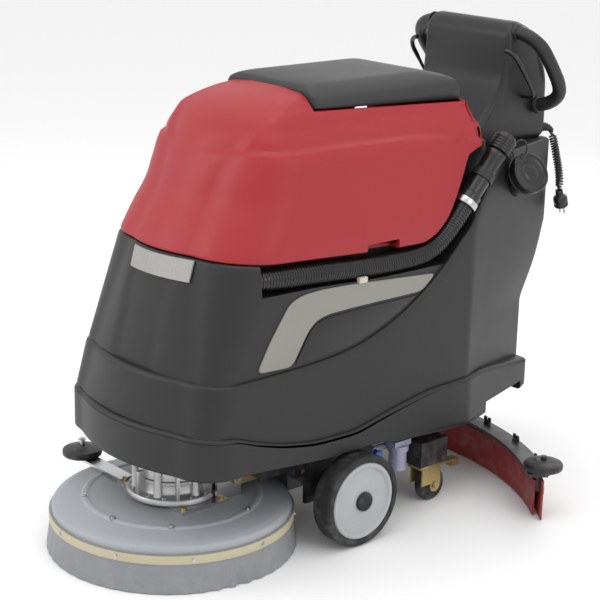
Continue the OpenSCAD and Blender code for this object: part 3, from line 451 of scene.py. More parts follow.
def makeFinish(name, colour, rough, metallic, grain, depth, drift, dust, coat):
    material = bpy.data.materials.new(name)
    material.use_nodes = True
    tree = material.node_tree
    surface = tree.nodes["Principled BSDF"]
    surface.inputs["Metallic"].default_value = metallic
    surface.inputs["Coat Weight"].default_value = coat
    surface.inputs["Coat Roughness"].default_value = 0.2
    where = tree.nodes.new("ShaderNodeTexCoord").outputs["Object"]
    skinNode = tree.nodes.new("ShaderNodeGroup")
    skinNode.node_tree = skinGroup
    dustNode = tree.nodes.new("ShaderNodeGroup")
    dustNode.node_tree = dustGroup
    for node in (skinNode, dustNode):
        tree.links.new(where, node.inputs["Vector"])
    skinNode.inputs["Color"].default_value = (*colour, 1)
    skinNode.inputs["Grain"].default_value = grain
    skinNode.inputs["Drift"].default_value = drift
    skinNode.inputs["Roughness"].default_value = rough
    skinNode.inputs["Spread"].default_value = 0.18
    dustNode.inputs["Amount"].default_value = dust
    tree.links.new(skinNode.outputs["Color"], dustNode.inputs["Color"])
    tree.links.new(dustNode.outputs["Color"], surface.inputs["Base Color"])
    tree.links.new(skinNode.outputs["Roughness"], surface.inputs["Roughness"])
    bump = tree.nodes.new("ShaderNodeBump")
    bump.inputs["Distance"].default_value = depth / 1000
    bump.inputs["Strength"].default_value = 0.7
    tree.links.new(skinNode.outputs["Height"], bump.inputs["Height"])
    tree.links.new(bump.outputs["Normal"], surface.inputs["Normal"])
    return material


finish = {slotName: makeFinish(slotName, *values) for slotName, values in finishes.items()}
for row in frame["record"]["subparts"]:
    nodes[row["node"]].data.materials.clear()
    nodes[row["node"]].data.materials.append(finish[row["material_slot"]])
print("finishes made")


# Charger cord with its plug and strain relief.
cord = {
    "wire": 5.0, "coil": 7.5, "pitch": 6.2, "fade": 12, "plugAim": (0, 0.309, -0.951), "pinsApart": 13,
    "route": [(118, 716, 776), (124, 722, 752), (131, 724, 724), (139, 725, 696), (147, 722, 668),
              (152, 716, 648)],
    "relief": [(106, 693, 791), (110, 703, 790), (114, 711, 787), (117, 715.5, 782), (118, 716, 776)],
    "plug": [(4.5, 0), (8.5, 1), (9, 4), (9, 7), (7.6, 8), (9.4, 9), (9.4, 12), (8, 13), (11, 15), (15.5, 18),
             (16.8, 22), (16.8, 33), (16.2, 34), (16.8, 35), (16.8, 41), (15, 43.6), (11, 44)],
}


def coilPath():  # the wire winds about the route and fades to it at both ends
    middle = smoothPath(cord["route"], 0.4)
    walked = [0.0]
    for a, b in zip(middle, middle[1:]):
        walked.append(walked[-1] + (b - a).length)
    whole = walked[-1]
    turns = round(whole / cord["pitch"])
    path = []
    for i, p in enumerate(middle):
        along = (middle[min(i + 1, len(middle) - 1)] - middle[max(i - 1, 0)]).normalized()
        side = (Vector((1, 0, 0)) - along * along.x).normalized()
        other = along.cross(side)
        s = walked[i]
        r = cord["coil"] * step(s / cord["fade"]) * step((whole - s) / cord["fade"])
        t = 2 * math.pi * turns * s / whole
        path.append(p + (side * math.cos(t) + other * math.sin(t)) * r)
    return path


def makeCord():
    path = coilPath()
    wire = piece("curlyWire", [tube(path, cord["wire"] / 2, 8)], "chassis", "hose_black",
                 ["charger_cord"], 60)
    aim = Vector(cord["plugAim"])
    top = Vector(cord["route"][-1])
    plug = piece("plugBody", [lathe(cord["plug"], top, aim, 32)], "chassis", "hose_black", ["charger_plug"])
    pins = []
    for x in (-cord["pinsApart"] / 2, cord["pinsApart"] / 2):
        root, tip = (top + aim * h + Vector((x, 0, 0)) for h in (43, 61.8))
        pins.append(rod(root, tip, 2.3, 12))
    prongs = piece("plugPins", pins, "chassis", "steel")

    def reliefRadius(t):
        return lerp(11.5, 4.4, t) + (0.9 if int(t * 14) % 2 else 0)
    sleeve = tube(smoothPath(cord["relief"], 1), reliefRadius, 20)
    relief = piece("cordRelief", [sleeve], "chassis", "hose_black", ["cord_gland"])
    length = sum((b - a).length for a, b in zip(path, path[1:])) / 1000
    return length


print("charger cord, metres along its wire:", round(makeCord(), 3))


# Floor.
def makeFloor():
    mesh = bpy.data.meshes.new("floor")
    h = room["floorHalf"]
    mesh.from_pydata([(-h, -h, 0), (h, -h, 0), (h, h, 0), (-h, h, 0)], [], [(0, 1, 2, 3)])
    material = bpy.data.materials.new("paleFloor")
    material.use_nodes = True
    surface = material.node_tree.nodes["Principled BSDF"]
    surface.inputs["Base Color"].default_value = (*[room["floorShade"]] * 3, 1)
    surface.inputs["Roughness"].default_value = room["floorRough"]
    mesh.materials.append(material)
    newObject("floor", mesh)


makeFloor()


# Walls that stand on a plan. The plan may change with height, and the top may rise and fall.
def planHalf(w, front, bow, r, taperY, back, backHalf):
    out = [((w - r) * i / 14, front + bow * (i / 14) ** 2) for i in range(14)]
    for i in range(17):
        a = math.radians(-84 + 84 * i / 16)
        out.append((w - r + r * math.cos(a), front + bow + r + r * math.sin(a)))
    out += [(w, lerp(front + bow + r, taperY, i / 64)) for i in range(1, 65)]
    out += [(lerp(w, backHalf + 14, i / 24), lerp(taperY, back - 10, i / 24)) for i in range(1, 25)]
    for i in range(1, 6):
        t = i / 5
        out.append((lerp(lerp(backHalf + 14, backHalf + 9, t), lerp(backHalf + 9, backHalf - 6, t), t),
                    lerp(lerp(back - 10, back, t), back, t)))
    return out + [(lerp(backHalf - 6, 0, i / 5), back) for i in range(1, 6)]


def walls(planAt, low, high, rows, press=None, guess=400):
    plans = {}

    def plan(z):
        key = round(z)
        if key not in plans:
            half = planHalf(*planAt(key))
            ways = []
            for k, p in enumerate(half):
                a, b = half[max(k - 1, 0)], half[min(k + 1, len(half) - 1)]
                n = Vector((b[1] - a[1], a[0] - b[0])).normalized()
                ways.append(Vector((0, -1 if k == 0 else 1)) if k in (0, len(half) - 1) else n)
            plans[key] = (half, ways)
        return plans[key]
    out = []
    for anchor, offset, inset in rows:
        ring = []
        for k in range(len(plan(guess)[0])):
            z = guess
            for _ in range(4):
                x, y = plan(z)[0][k]
                lo, hi = low(y), max(high(y), low(y) + 1)
                z = {"low": lo + offset, "high": hi - offset, "mid": lerp(lo, hi, offset)}[anchor]
            n = plan(z)[1][k]
            d = -inset + (press(x, y, z, n) if press else 0)
            ring.append((max(x + n.x * d, 0) if x > 0 else 0, y + n.y * d, z))
        out.append(ring + [(-x, y, z) for x, y, z in reversed(ring)])
    return bridged(out)


def edgedRows(count, edge):
    low = [("low", 0, edge), ("low", edge * 0.12, edge * 0.5), ("low", edge * 0.5, edge * 0.12)]
    high = [("high", edge * (1 - math.sin(a)), edge * (1 - math.cos(a)))
            for a in (math.radians(g) for g in (0, 18, 36, 54, 72, 90))]
    return low + [("mid", lerp(0.06, 0.92, i / count), 0) for i in range(count + 1)] + high


# Lower body.
body = {"halfWidth": 242, "front": -442, "back": 700, "tierBack": 632, "seat": 640, "tierStep": 9, "edge": 9,
        "taperY": 345, "recessHalf": 60, "recessDepth": 5}
soleLine = [(-520, 220), (-308, 219), (-151, 208), (-60, 202), (60, 202), (136, 190), (291, 181), (388, 177),
            (560, 177), (632, 194)]
tierLine = [(-520, 316), (-330, 306), (-254, 282), (-175, 261), (-93, 249), (-9, 247), (77, 262), (136, 274),
            (257, 290), (385, 291), (560, 268), (632, 258)]
swoosh = [(-520, 416), (-300, 410), (-144, 412), (-35, 420), (21, 430), (77, 447), (134, 471), (192, 505),
          (250, 548), (307, 603), (344, 639), (398, 705), (448, 746), (468, 770)]
shelf = [(-245, 572), (-110, 570), (10, 563.4), (70, 560.4), (130, 559.4), (460, 559.4)]
slope = [(-260, 633), (195, 609), (232, 618), (270, 646), (300, 687), (327, 741), (343, 776), (402, 796),
         (428, 802), (434, 770), (460, 770)]


def alongLine(points):
    return lambda y: curveAt(points, y)


def mixPlan(a, b, t):
    t = min(1, max(0, t))
    return [lerp(p, q, t) for p, q in zip(a, b)]


def middlePlan(z):
    w = body["halfWidth"] - body["tierStep"]
    rear = curveAt([(400, body["tierBack"]), (500, 678), (580, body["back"])], z)
    return mixPlan((w, -430, 34, 60, body["taperY"], rear, 120), (w, -410, 32, 80, body["taperY"], rear, 120),
                   (z - 314) / 99)


def nosePlan(z):
    w = body["halfWidth"] - 2 * body["tierStep"]
    return mixPlan((w, -398, 30, 55, body["taperY"], 470, 177), (w, -344, 28, 115, body["taperY"], 470, 177),
                   (z - 413) / 227)


def pressNose(x, y, z, n):  # shallow panel down the middle of the front
    if n.y > -0.5:
        return 0
    inside = step((body["recessHalf"] - x) / 9 + 0.5) * step((598 - z) / 10 + 0.5)
    crease = 2.2 * math.exp(-((x - (body["recessHalf"] + 6)) / 5) ** 2)
    return -body["recessDepth"] * inside - crease * step((606 - z) / 10)


def cutAcross(outline, x0, x1):  # outline in (y, z), drawn out across the machine
    rows = [[(x, y, z) for y, z in outline] for x in (x0, x1)]
    points, faces = skin(rows)
    n = len(outline)
    return points, faces + [tuple(range(n)), tuple(range(n, 2 * n))]


def takenApart(obj):  # back to points in millimetres and faces; the object goes
    points = [Vector((v.co.x * 1000, (v.co.y - axleY) * 1000, v.co.z * 1000)) for v in obj.data.vertices]
    faces = [tuple(polygon.vertices) for polygon in obj.data.polygons]
    bpy.data.objects.remove(obj)
    return points, faces


def bodyHollows():
    batteryBay = block(-150, 150, -150, 250, 214, 900, 0)
    underside = block(-218, 218, -390, 602, 100, 208, 0)
    motorPocket = lathe([(105, 0), (105, 325)], (0, -291, 0))
    suctionWay = lathe([(37, 60), (37, 338)], (0, 542, 0))
    pedalSlot = block(-26, 26, 592, 642, 60, 220, 0)
    column = block(-95, 95, 455, 612, 330, 810, 0)
    fillerBore = lathe([(30, -62), (30, 60)], (207, 522, 712), (0.853, -0.150, 0.5))
    drainWay = tube([(150, -262, 600), (196, -244, 600), (203, -215, 600)], 23.5, 24)
    return [batteryBay, underside, motorPocket, suctionWay, pedalSlot, column, fillerBore, drainWay]


def seatLine(y):  # the tank's seat, which falls a little behind the nose
    return body["seat"] if y < -341 else lerp(body["seat"], body["seat"] - 6, (y + 341) / 96)


def makeBody():
    def tierPlan(z):
        return (body["halfWidth"], body["front"], 36, 80, body["taperY"], body["tierBack"], 150)
    sole = alongLine(soleLine)
    tier = walls(tierPlan, sole, alongLine(tierLine), edgedRows(10, body["edge"]))
    middle = walls(middlePlan, sole, alongLine(swoosh), edgedRows(44, body["edge"]))
    nose = walls(nosePlan, lambda y: 380, seatLine, edgedRows(30, 7), pressNose, 600)
    core = walls(lambda z: (176, -262, 2, 14, 420, 470, 150), lambda y: 400, alongLine(slope),
                 edgedRows(12, 4))
    overShelf = shelf + [(470, 559.4), (470, 900), (-245, 900)]
    shelfCuts = [cutAcross(overShelf, 176.6, 400), cutAcross(overShelf, -400, -176.6)]
    noseShell = takenApart(carved("bodyShell", [nose, core], shelfCuts))
    shell = carved("bodyShell", [middle, tier, noseShell], bodyHollows())
    settle(shell, "chassis", "body_black", ["solution_tank"], 32)


def makePedalEars():
    outline = rounded([(569, 116), (599, 116), (599, 224), (569, 224)], 9, 4, True)
    boss = [(7.05, 0), (14, 0), (14, 8), (7.05, 8)]
    ears = [cutAcross(outline, x, x + 8) for x in (-153, -101)]
    bosses = [lathe(boss, (x, 584, 128), (1, 0, 0), 32, True) for x in (-153, -101)]
    piece("pedalEars", ears + bosses, "chassis", "body_black")


makeBody()
makePedalEars()
print("body made")


# Recovery tank and lid.
tank = {"top": 943, "bulge": 8, "wall": 6}
tankFront = [(580, -343), (641, -341), (664, -330), (698, -312), (742, -285), (790, -265), (837, -240),
             (862, -226), (885, -207), (907, -176), (925, -130), (943, -58)]
tankHalf = [(580, 222), (652, 221), (700, 216), (744, 212), (792, 208), (815, 205), (837, 195), (862, 180),
            (885, 163), (907, 144), (925, 126), (943, 100)]
tankCorner = [(580, 122), (744, 122), (792, 115), (837, 86), (862, 60), (885, 40), (907, 24), (943, 20)]
tankBack = [(600, 422), (806, 422), (838, 412), (850, 398), (880, 394), (943, 390)]
tankFoot = [(-343, 642), (-230, 634), (-142, 629), (136, 614), (195, 613), (231, 623), (268, 651), (297, 691),
            (324, 745), (340, 781), (402, 801), (430, 807)]
bulgeLine = [(-352, 600), (-350, 650), (-335, 717), (-309, 759), (-273, 808), (-244, 832), (-199, 840),
             (0, 840), (200, 836), (350, 816), (460, 800)]


def tankPlan(z, inner=0):
    w = curveAt(tankHalf, z) - inner
    return (w, curveAt(tankFront, z) + inner, 22, max(curveAt(tankCorner, z) - inner, 8), 380,
            curveAt(tankBack, z) - inner, min(170, w - 20))


def bulgeSide(y, z):  # distance inside the bulge's edge, negative outside it
    best, side = 1e9, 1
    for (ay, az), (by, bz) in zip(bulgeLine, bulgeLine[1:]):
        dy, dz = by - ay, bz - az
        t = min(1, max(0, ((y - ay) * dy + (z - az) * dz) / (dy * dy + dz * dz)))
        gap = math.hypot(y - ay - dy * t, z - az - dz * t)
        if gap < best:
            best, side = gap, 1 if dy * (z - az) - dz * (y - ay) < 0 else -1
    return best * side


def pressTank(x, y, z, n):
    if abs(n.x) < 0.05 or z > tank["top"] - 8:
        return 0
    inside = step(bulgeSide(y, z) / 8 + 0.5)
    return -tank["bulge"] * (1 - inside) * step(n.x * 2.2) * (1 - step((z - 872) / 34))


def makeTank():
    def rows(edge, count):
        low = [("low", edge * (1 - math.sin(a)), edge * (1 - math.cos(a)))
               for a in (math.radians(g) for g in (90, 60, 30, 0))]
        return low + [("mid", lerp(0.02, 1, i / count), 0) for i in range(count + 1)]
    foot = alongLine(tankFoot)
    outer = walls(tankPlan, foot, lambda y: tank["top"], rows(5, 74), pressTank, 700)
    inner = walls(lambda z: tankPlan(z, tank["wall"] + 4), lambda y: foot(y) + 7, lambda y: tank["top"] - 13,
                  rows(5, 16), None, 700)
    lidRegion = cutAcross([(-52, 905), (396, 886.5), (520, 881), (520, 990), (-52, 990)], -300, 300)
    mouth = block(-106, 106, -10, 330, 820, 940, 0)
    fingers = block(192, 232, 37, 128, 560, 634, 0)
    obj = carved("redTank", [outer], [inner, lidRegion, mouth, fingers])
    settle(obj, "tank", "tank_red", ["recovery_tank"], 30)


lid = {"front": -50, "back": 390, "half": 140, "corner": 20, "seat": 908, "fall": 0.042}
lidAcross = [(0, 965), (60, 961.5), (100, 955.5), (106, 953), (134, 930), (138, 924), (140, 918)]
lidAlong = [(-50, 944), (-48, 948), (-40, 953), (10, 960.5), (100, 966), (240, 962), (330, 947), (368, 934),
            (384, 917), (390, 905)]


def softMin(a, b, k=5.0):
    h = max(k - abs(a - b), 0) / k
    return min(a, b) - h * h * k / 4


def lidSeat(y):
    return lid["seat"] - lid["fall"] * (y - lid["front"])


def lidCrown(x, y):
    return max(softMin(curveAt(lidAcross, x), curveAt(lidAlong, y)), lidSeat(y) + 6)


def makeLid():
    def ring(inset, height):
        front, back, side = lid["front"] + inset, lid["back"] - inset, lid["half"] - inset
        corners = [(0, front), (side, front), (side, back), (0, back)]
        half = []
        radius = max(lid["corner"] - inset * 0.6, 3)
        for i, (p, q) in enumerate(zip(corners, corners[1:])):
            count = (14, 40, 14)[i]
            half += [(lerp(p[0], q[0], s / count), lerp(p[1], q[1], s / count)) for s in range(count)]
        half.append(corners[-1])
        out = []
        for x, y in half:
            cx, y0, y1 = side - radius, front + radius, back - radius
            if x > cx and (y < y0 or y > y1):
                cy = y0 if y < y0 else y1
                away = Vector((x - cx, y - cy))
                if away.length > 0.01:
                    reach = max(abs(away.x), abs(away.y))
                    away = away / reach * radius * reach / away.length
                    grow = max(x - cx, abs(y - cy)) / radius
                    x, y = cx + away.x * grow, cy + away.y * grow
            out.append((x, y, height(x, y)))
        return out + [(-x, y, z) for x, y, z in reversed(out)]

    rows = [ring(16, lambda x, y: lidSeat(y) + 17), ring(15, lambda x, y: lidSeat(y) + 1)]
    rows += [ring(inset, lambda x, y: lidSeat(y)) for inset in (14, 1.5)]
    rows.append(ring(0, lambda x, y: lidSeat(y) + 1.5))
    rows.append(ring(0, lambda x, y: max(lidCrown(x, y) - 3, lidSeat(y) + 3)))
    for inset in (0.8, 2.5, 5, 9, 14, 20, 27, 32, 34.5, 37, 42, 50, 62, 78, 96, 115, 130, 137):
        rows.append(ring(inset, lidCrown))
    piece("lidShell", [bridged(rows)], "lid", "lid_grey", ["tank_lid"], 50)


makeTank()
makeLid()
print("tank and lid made")


# Plates cut from an outline, with softened edges.
def insetOutline(points, d):
    out = []
    n = len(points)
    pairs = [(points[i], points[(i + 1) % n]) for i in range(n)]
    area = sum(p[0] * q[1] - q[0] * p[1] for p, q in pairs)
    turn = 1 if area > 0 else -1
    for i, p in enumerate(points):
        a, b = Vector(points[i - 1]), Vector(points[(i + 1) % n])
        u, v = (Vector(p) - a).normalized(), (b - Vector(p)).normalized()
        n1, n2 = Vector((-u.y, u.x)), Vector((-v.y, v.x))
        way = n1 + n2
        way = way / max(way.length_squared / 2, 0.5)
        out.append((p[0] + way.x * d * turn, p[1] + way.y * d * turn))
    return out


def plate(outline, levels, place):
    rows = [[place(u, v, height) for u, v in insetOutline(outline, inset)] for inset, height in levels]
    points, faces = skin(rows)
    n = len(outline)
    return points, faces + [tuple(range(n)), tuple(range((len(rows) - 1) * n, len(rows) * n))]


def softLevels(thickness, edge):
    up = [(edge * (1 - math.cos(a)), thickness - edge * (1 - math.sin(a)))
          for a in (math.radians(g) for g in (0, 30, 60, 90))]
    return [(0, 0)] + up


sides = {"face": 224, "stripe": 3, "inset": 2}
stripeLine = [(-257, 421), (-225, 479), (-175, 549), (-142, 561), (-89, 564), (8, 560), (236, 544),
              (196, 511), (10, 511), (-73, 509), (-105, 501), (-126, 482), (-166, 417)]
insetLine = [(-158, 419), (-120, 481), (-100, 496), (-72, 503), (10, 505), (186, 505), (128, 475), (74, 453),
             (18, 435), (-35, 426)]


def onSide(u, v, height):
    return (sides["face"] + height, u, v)


def makeSides():
    sweep = plate(rounded(stripeLine, 16, 5, True), softLevels(sides["stripe"], 1.4), onSide)
    dark = plate(rounded(insetLine, 10, 4, True), softLevels(sides["inset"], 0.8), onSide)
    piece("silverSweep", both([sweep]), "chassis", "stripe_silver", ["side_stripes"])
    piece("darkInset", both([dark]), "chassis", "inset_black", ["side_insets"])


makeSides()
print("side panels made")


# Console, grips and levers.
console = {"half": 130, "edge": 15, "grip": 15.4, "lever": 3.9, "panelTilt": -65}
consoleSide = [(438, 768), (458, 806), (500, 856), (531, 905), (536, 950), (538, 1016), (552, 1036),
               (575, 1042.5), (628, 1019), (672, 930), (690, 880), (696, 830), (696, 768)]
consoleHalf = [(700, 118), (850, 119), (930, console["half"]), (1006, 129), (1044, 124)]
gripPath = [(110, 566, 1020), (140, 568, 1017), (166, 573, 1007), (184, 584, 990), (190, 600, 966),
            (190, 626, 932), (189, 644, 905), (182, 656, 882), (166, 658, 864), (142, 652, 852),
            (108, 642, 845)]
leverPath = [(126, 600, 872), (148, 599, 873), (160, 594, 880), (165, 580, 898), (165, 556, 930),
             (164, 538, 954), (158, 528, 970), (147, 523, 979), (136, 521, 982)]


def panelPlace(x, y, z):
    a = math.radians(console["panelTilt"])
    return (x, 653 + y * math.cos(a) - z * math.sin(a), 972 + y * math.sin(a) + z * math.cos(a))


def makeConsole():
    outline = rounded(consoleSide, 26, 6, True)
    rows = []
    edge = console["edge"]
    for side in (-1, 1):
        turns = (0, 15, 32, 50, 70, 90) if side < 0 else (90, 70, 50, 32, 15, 0)
        for g in turns:
            a = math.radians(g)
            rows.append([(side * (curveAt(consoleHalf, z) - edge * (1 - math.cos(a))), y, z)
                         for y, z in insetOutline(outline, edge * (1 - math.sin(a)))])
        if side < 0:
            for s in (-0.6, -0.3, 0, 0.3, 0.6):
                rows.append([(s * curveAt(consoleHalf, z), y, z) for y, z in outline])
    points, faces = skin(rows)
    n = len(outline)
    shell = points, faces + [tuple(range(n)), tuple(range((len(rows) - 1) * n, len(rows) * n))]
    seat = block(-86, 86, -62, 62, -2, 40, 0)
    seat = [Vector(panelPlace(*p)) for p in seat[0]], seat[1]
    obj = carved("consoleShell", [shell], [seat])
    settle(obj, "chassis", "console_black", ["console_shell"], 35)


def makeGrips():
    collar = [(15.7, -3), (19.5, -3), (20, 0), (18, 5), (15.7, 6)]
    grips = [tube(smoothPath(gripPath, 5), console["grip"], 24)]
    for a, b in (((127, 567, 1018), (140, 568, 1017)), ((127, 647.5, 848.5), (142, 652, 852))):
        grips.append(lathe(collar, Vector(a), Vector(b) - Vector(a), 32, True))
    piece("handGrips", both(grips), "chassis", "console_black", ["hand_grips"])


def makeStartLever():
    def thickness(t):
        return console["lever"] + 1.4 * step((t - 0.45) / 0.2)
    arms = both([tube(smoothPath(leverPath, 4), thickness, 14)])
    shaft = rod((-126, 600, 872), (126, 600, 872), 3.95)
    piece("startLever", arms + [shaft], "start_lever", "hose_black", ["start_lever"])


makeConsole()
makeGrips()
makeStartLever()
print("console made")


# Hoses, with rings set along a path.
def startTree(name, inputs):
    tree = bpy.data.node_groups.new(name, "GeometryNodeTree")
    tree.interface.new_socket(name="Geometry", in_out="INPUT", socket_type="NodeSocketGeometry")
    for label, kind, value in inputs:
        socket = tree.interface.new_socket(name=label, in_out="INPUT", socket_type="NodeSocket" + kind)
        socket.default_value = value
    tree.interface.new_socket(name="Material", in_out="INPUT", socket_type="NodeSocketMaterial")
    tree.interface.new_socket(name="Geometry", in_out="OUTPUT", socket_type="NodeSocketGeometry")
    return tree, tree.nodes.new("NodeGroupInput"), tree.nodes.new("NodeGroupOutput")


def endTree(tree, geometry, inside, out):
    real = tree.nodes.new("GeometryNodeRealizeInstances")
    paint = tree.nodes.new("GeometryNodeSetMaterial")
    tree.links.new(geometry, real.inputs[0])
    tree.links.new(real.outputs[0], paint.inputs["Geometry"])
    tree.links.new(inside.outputs["Material"], paint.inputs["Material"])
    tree.links.new(paint.outputs[0], out.inputs[0])
    return tree


def circle(tree, sides, radius):
    ring = tree.nodes.new("GeometryNodeCurvePrimitiveCircle")
    ring.inputs["Resolution"].default_value = sides
    tree.links.new(radius, ring.inputs["Radius"])
    return ring.outputs[0]


def swept(tree, line, profile, caps):
    node = tree.nodes.new("GeometryNodeCurveToMesh")
    tree.links.new(line, node.inputs["Curve"])
    tree.links.new(profile, node.inputs["Profile Curve"])
    node.inputs["Fill Caps"].default_value = caps
    return node.outputs[0]


def scattered(tree, spots, thing, rotation):
    node = tree.nodes.new("GeometryNodeInstanceOnPoints")
    tree.links.new(spots, node.inputs["Points"])
    tree.links.new(thing, node.inputs["Instance"])
    tree.links.new(rotation, node.inputs["Rotation"])
    return node.outputs[0]


def joinedUp(tree, *parts):
    node = tree.nodes.new("GeometryNodeJoinGeometry")
    for part in parts:
        tree.links.new(part, node.inputs[0])
    return node.outputs[0]


def ribbedTree():  # a smooth core with a hoop at every spacing along the line
    tree, inside, out = startTree("ribbedHose", [
        ("Radius", "Float", 0.022), ("Rib", "Float", 0.002), ("Spacing", "Float", 0.007)])
    line = tree.nodes.new("GeometryNodeMeshToCurve")
    tree.links.new(inside.outputs["Geometry"], line.inputs[0])
    middle = calc(tree, "SUBTRACT", inside.outputs["Radius"], inside.outputs["Rib"])
    core = swept(tree, line.outputs[0], circle(tree, 32, middle), True)
    hoop = swept(tree, circle(tree, 32, middle), circle(tree, 8, inside.outputs["Rib"]), False)
    spots = tree.nodes.new("GeometryNodeCurveToPoints")
    spots.mode = "LENGTH"
    tree.links.new(line.outputs[0], spots.inputs["Curve"])
    tree.links.new(inside.outputs["Spacing"], spots.inputs["Length"])
    hoops = scattered(tree, spots.outputs["Points"], hoop, spots.outputs["Rotation"])
    return endTree(tree, joinedUp(tree, core, hoops), inside, out)


def screwTreeFor():  # a screw head on its washer at each point, its stem along the point's "aim"
    tree, inside, out = startTree("screwRow", [
        ("Radius", "Float", 0.005), ("Height", "Float", 0.004), ("Washer", "Float", 0.008),
        ("Sides", "Int", 6)])
    link = tree.links.new
    head, washer = (tree.nodes.new("GeometryNodeMeshCylinder") for _ in range(2))
    link(inside.outputs["Sides"], head.inputs["Vertices"])
    link(inside.outputs["Radius"], head.inputs["Radius"])
    link(inside.outputs["Height"], head.inputs["Depth"])
    washer.inputs["Vertices"].default_value = 24
    washer.inputs["Depth"].default_value = 0.0014
    link(inside.outputs["Washer"], washer.inputs["Radius"])
    rise = tree.nodes.new("ShaderNodeCombineXYZ")
    link(calc(tree, "MULTIPLY", inside.outputs["Height"], 0.5), rise.inputs["Z"])
    lifted = tree.nodes.new("GeometryNodeTransform")
    link(head.outputs["Mesh"], lifted.inputs["Geometry"])
    link(rise.outputs[0], lifted.inputs["Translation"])
    screw = joinedUp(tree, lifted.outputs[0], washer.outputs["Mesh"])
    spots = tree.nodes.new("GeometryNodeMeshToPoints")
    link(inside.outputs["Geometry"], spots.inputs["Mesh"])
    aim = tree.nodes.new("GeometryNodeInputNamedAttribute")
    aim.data_type = "FLOAT_VECTOR"
    aim.inputs["Name"].default_value = "aim"
    turn = tree.nodes.new("FunctionNodeAlignRotationToVector")
    turn.axis = "Z"
    link(aim.outputs["Attribute"], turn.inputs["Vector"])
    placed = scattered(tree, spots.outputs["Points"], screw, turn.outputs["Rotation"])
    return endTree(tree, placed, inside, out)


def grown(name, base, tree, values, body, slotName, replaced=(), angle=45):
    obj = newObject(name, base)
    modifier = obj.modifiers.new("grow", "NODES")
    modifier.node_group = tree
    settings = dict(values, Material=finish[slotName])
    for item in tree.interface.items_tree:
        if item.in_out == "INPUT" and item.name in settings:
            modifier[item.identifier] = settings[item.name]
    mesh = bpy.data.meshes.new_from_object(obj.evaluated_get(bpy.context.evaluated_depsgraph_get()))
    obj.modifiers.clear()
    obj.data = mesh
    return settle(obj, body, slotName, replaced, angle)


hoseTree = ribbedTree()
screwTree = screwTreeFor()


def pathMesh(name, path):
    mesh = bpy.data.meshes.new(name)
    mesh.from_pydata([at(p) for p in path], [(i, i + 1) for i in range(len(path) - 1)], [])
    return mesh


def screws(name, spots, body, slotName, radius, height, washer, sides=6, replaced=()):
    mesh = bpy.data.meshes.new(name)
    mesh.from_pydata([at(p) for p, _ in spots], [], [])
    aims = mesh.attributes.new("aim", "FLOAT_VECTOR", "POINT")
    for i, (_, aim) in enumerate(spots):
        aims.data[i].vector = aim
    values = {"Radius": radius / 1000, "Height": height / 1000, "Washer": washer / 1000, "Sides": sides}
    return grown(name, mesh, screwTree, values, body, slotName, replaced, 30)


hoses = {
    "drain": {"Radius": 0.0228, "Rib": 0.0021, "Spacing": 0.0066},
    "suction": {"Radius": 0.0218, "Rib": 0.002, "Spacing": 0.0064},
    "cuffFrom": (210, 330, 675), "cuffTo": (214, 424, 780), "strapAt": 78, "strapRadius": 26,
    "tetherAt": (221, 486, 779), "tetherRadius": 23, "tetherWire": 1.7,
}
drainPath = [(196, -244, 600), (203, -215, 600), (206, -167, 598), (207, -110, 595), (207, -50, 591),
             (207, 10, 587), (207, 70, 584), (207, 130, 583), (207, 185, 584), (207, 228, 591),
             (208, 262, 608), (209, 290, 632), (210, 312, 655), (210, 330, 675)]
suctionPath = [(0, 548, 127.2), (0, 548.4, 142), (0, 566, 164), (0, 600, 180), (0, 632, 190), (0, 655, 208),
               (0, 666, 234), (0, 668, 262), (0, 660, 296), (0, 640, 322), (0, 606, 338)]


def hose(name, path, sizes, replaced):
    grown(name, pathMesh(name, smoothPath(path, 4)), hoseTree, sizes, "chassis", "hose_black", replaced)


def makeHoses():
    hose("drainHose", drainPath, hoses["drain"], ["drain_hose"])
    hose("suctionHose", suctionPath, hoses["suction"], ["suction_hose"])


def makeCuff():
    start, end = Vector(hoses["cuffFrom"]), Vector(hoses["cuffTo"])
    d = (end - start).normalized()
    whole = (end - start).length
    cuff = [(20, 0), (24.5, 0.5), (25, 3), (25, 27), (24, 30), (22, 32), (22, whole - 16), (23, whole - 13),
            (23, whole - 3), (21, whole)]
    piece("drainCuff", [lathe(cuff, start, d)], "chassis", "hose_black", ["drain_cuff"])
    ring = [(24.6, -1.5), (26.6, -1), (27.2, 3), (27.2, 9), (26.6, 13), (24.6, 13.5)]
    piece("drainRing", [lathe(ring, start, d, 48, True)], "chassis", "steel")
    ribs = [(20, 0)]
    for i in range(5):
        ribs += [(26.8, 1 + i * 7), (27, 2 + i * 7), (27, 5 + i * 7), (25.4, 6 + i * 7)]
    piece("drainCollar", [lathe(ribs + [(25, 37), (20, 38), (19.8, 43.5), (17, 44)], end, d)], "chassis",
          "hose_black", ["drain_collar"])
    side, middle, radius = Vector((1, 0, 0)), start + d * hoses["strapAt"], hoses["strapRadius"]
    rows = []
    for k in range(40):
        t = 2 * math.pi * k / 40
        p = middle + Vector((radius * math.cos(t), 0, 0)) + d.cross(side) * radius * math.sin(t)
        out = (p - start - d * hoses["strapAt"]).normalized()
        rows.append([p + d * w + out * h for w, h in ((-9, -2.5), (9, -2.5), (9, 0), (-9, 0))])
    piece("cuffStrap", [skin(rows + [rows[0]])], "chassis", "console_black")


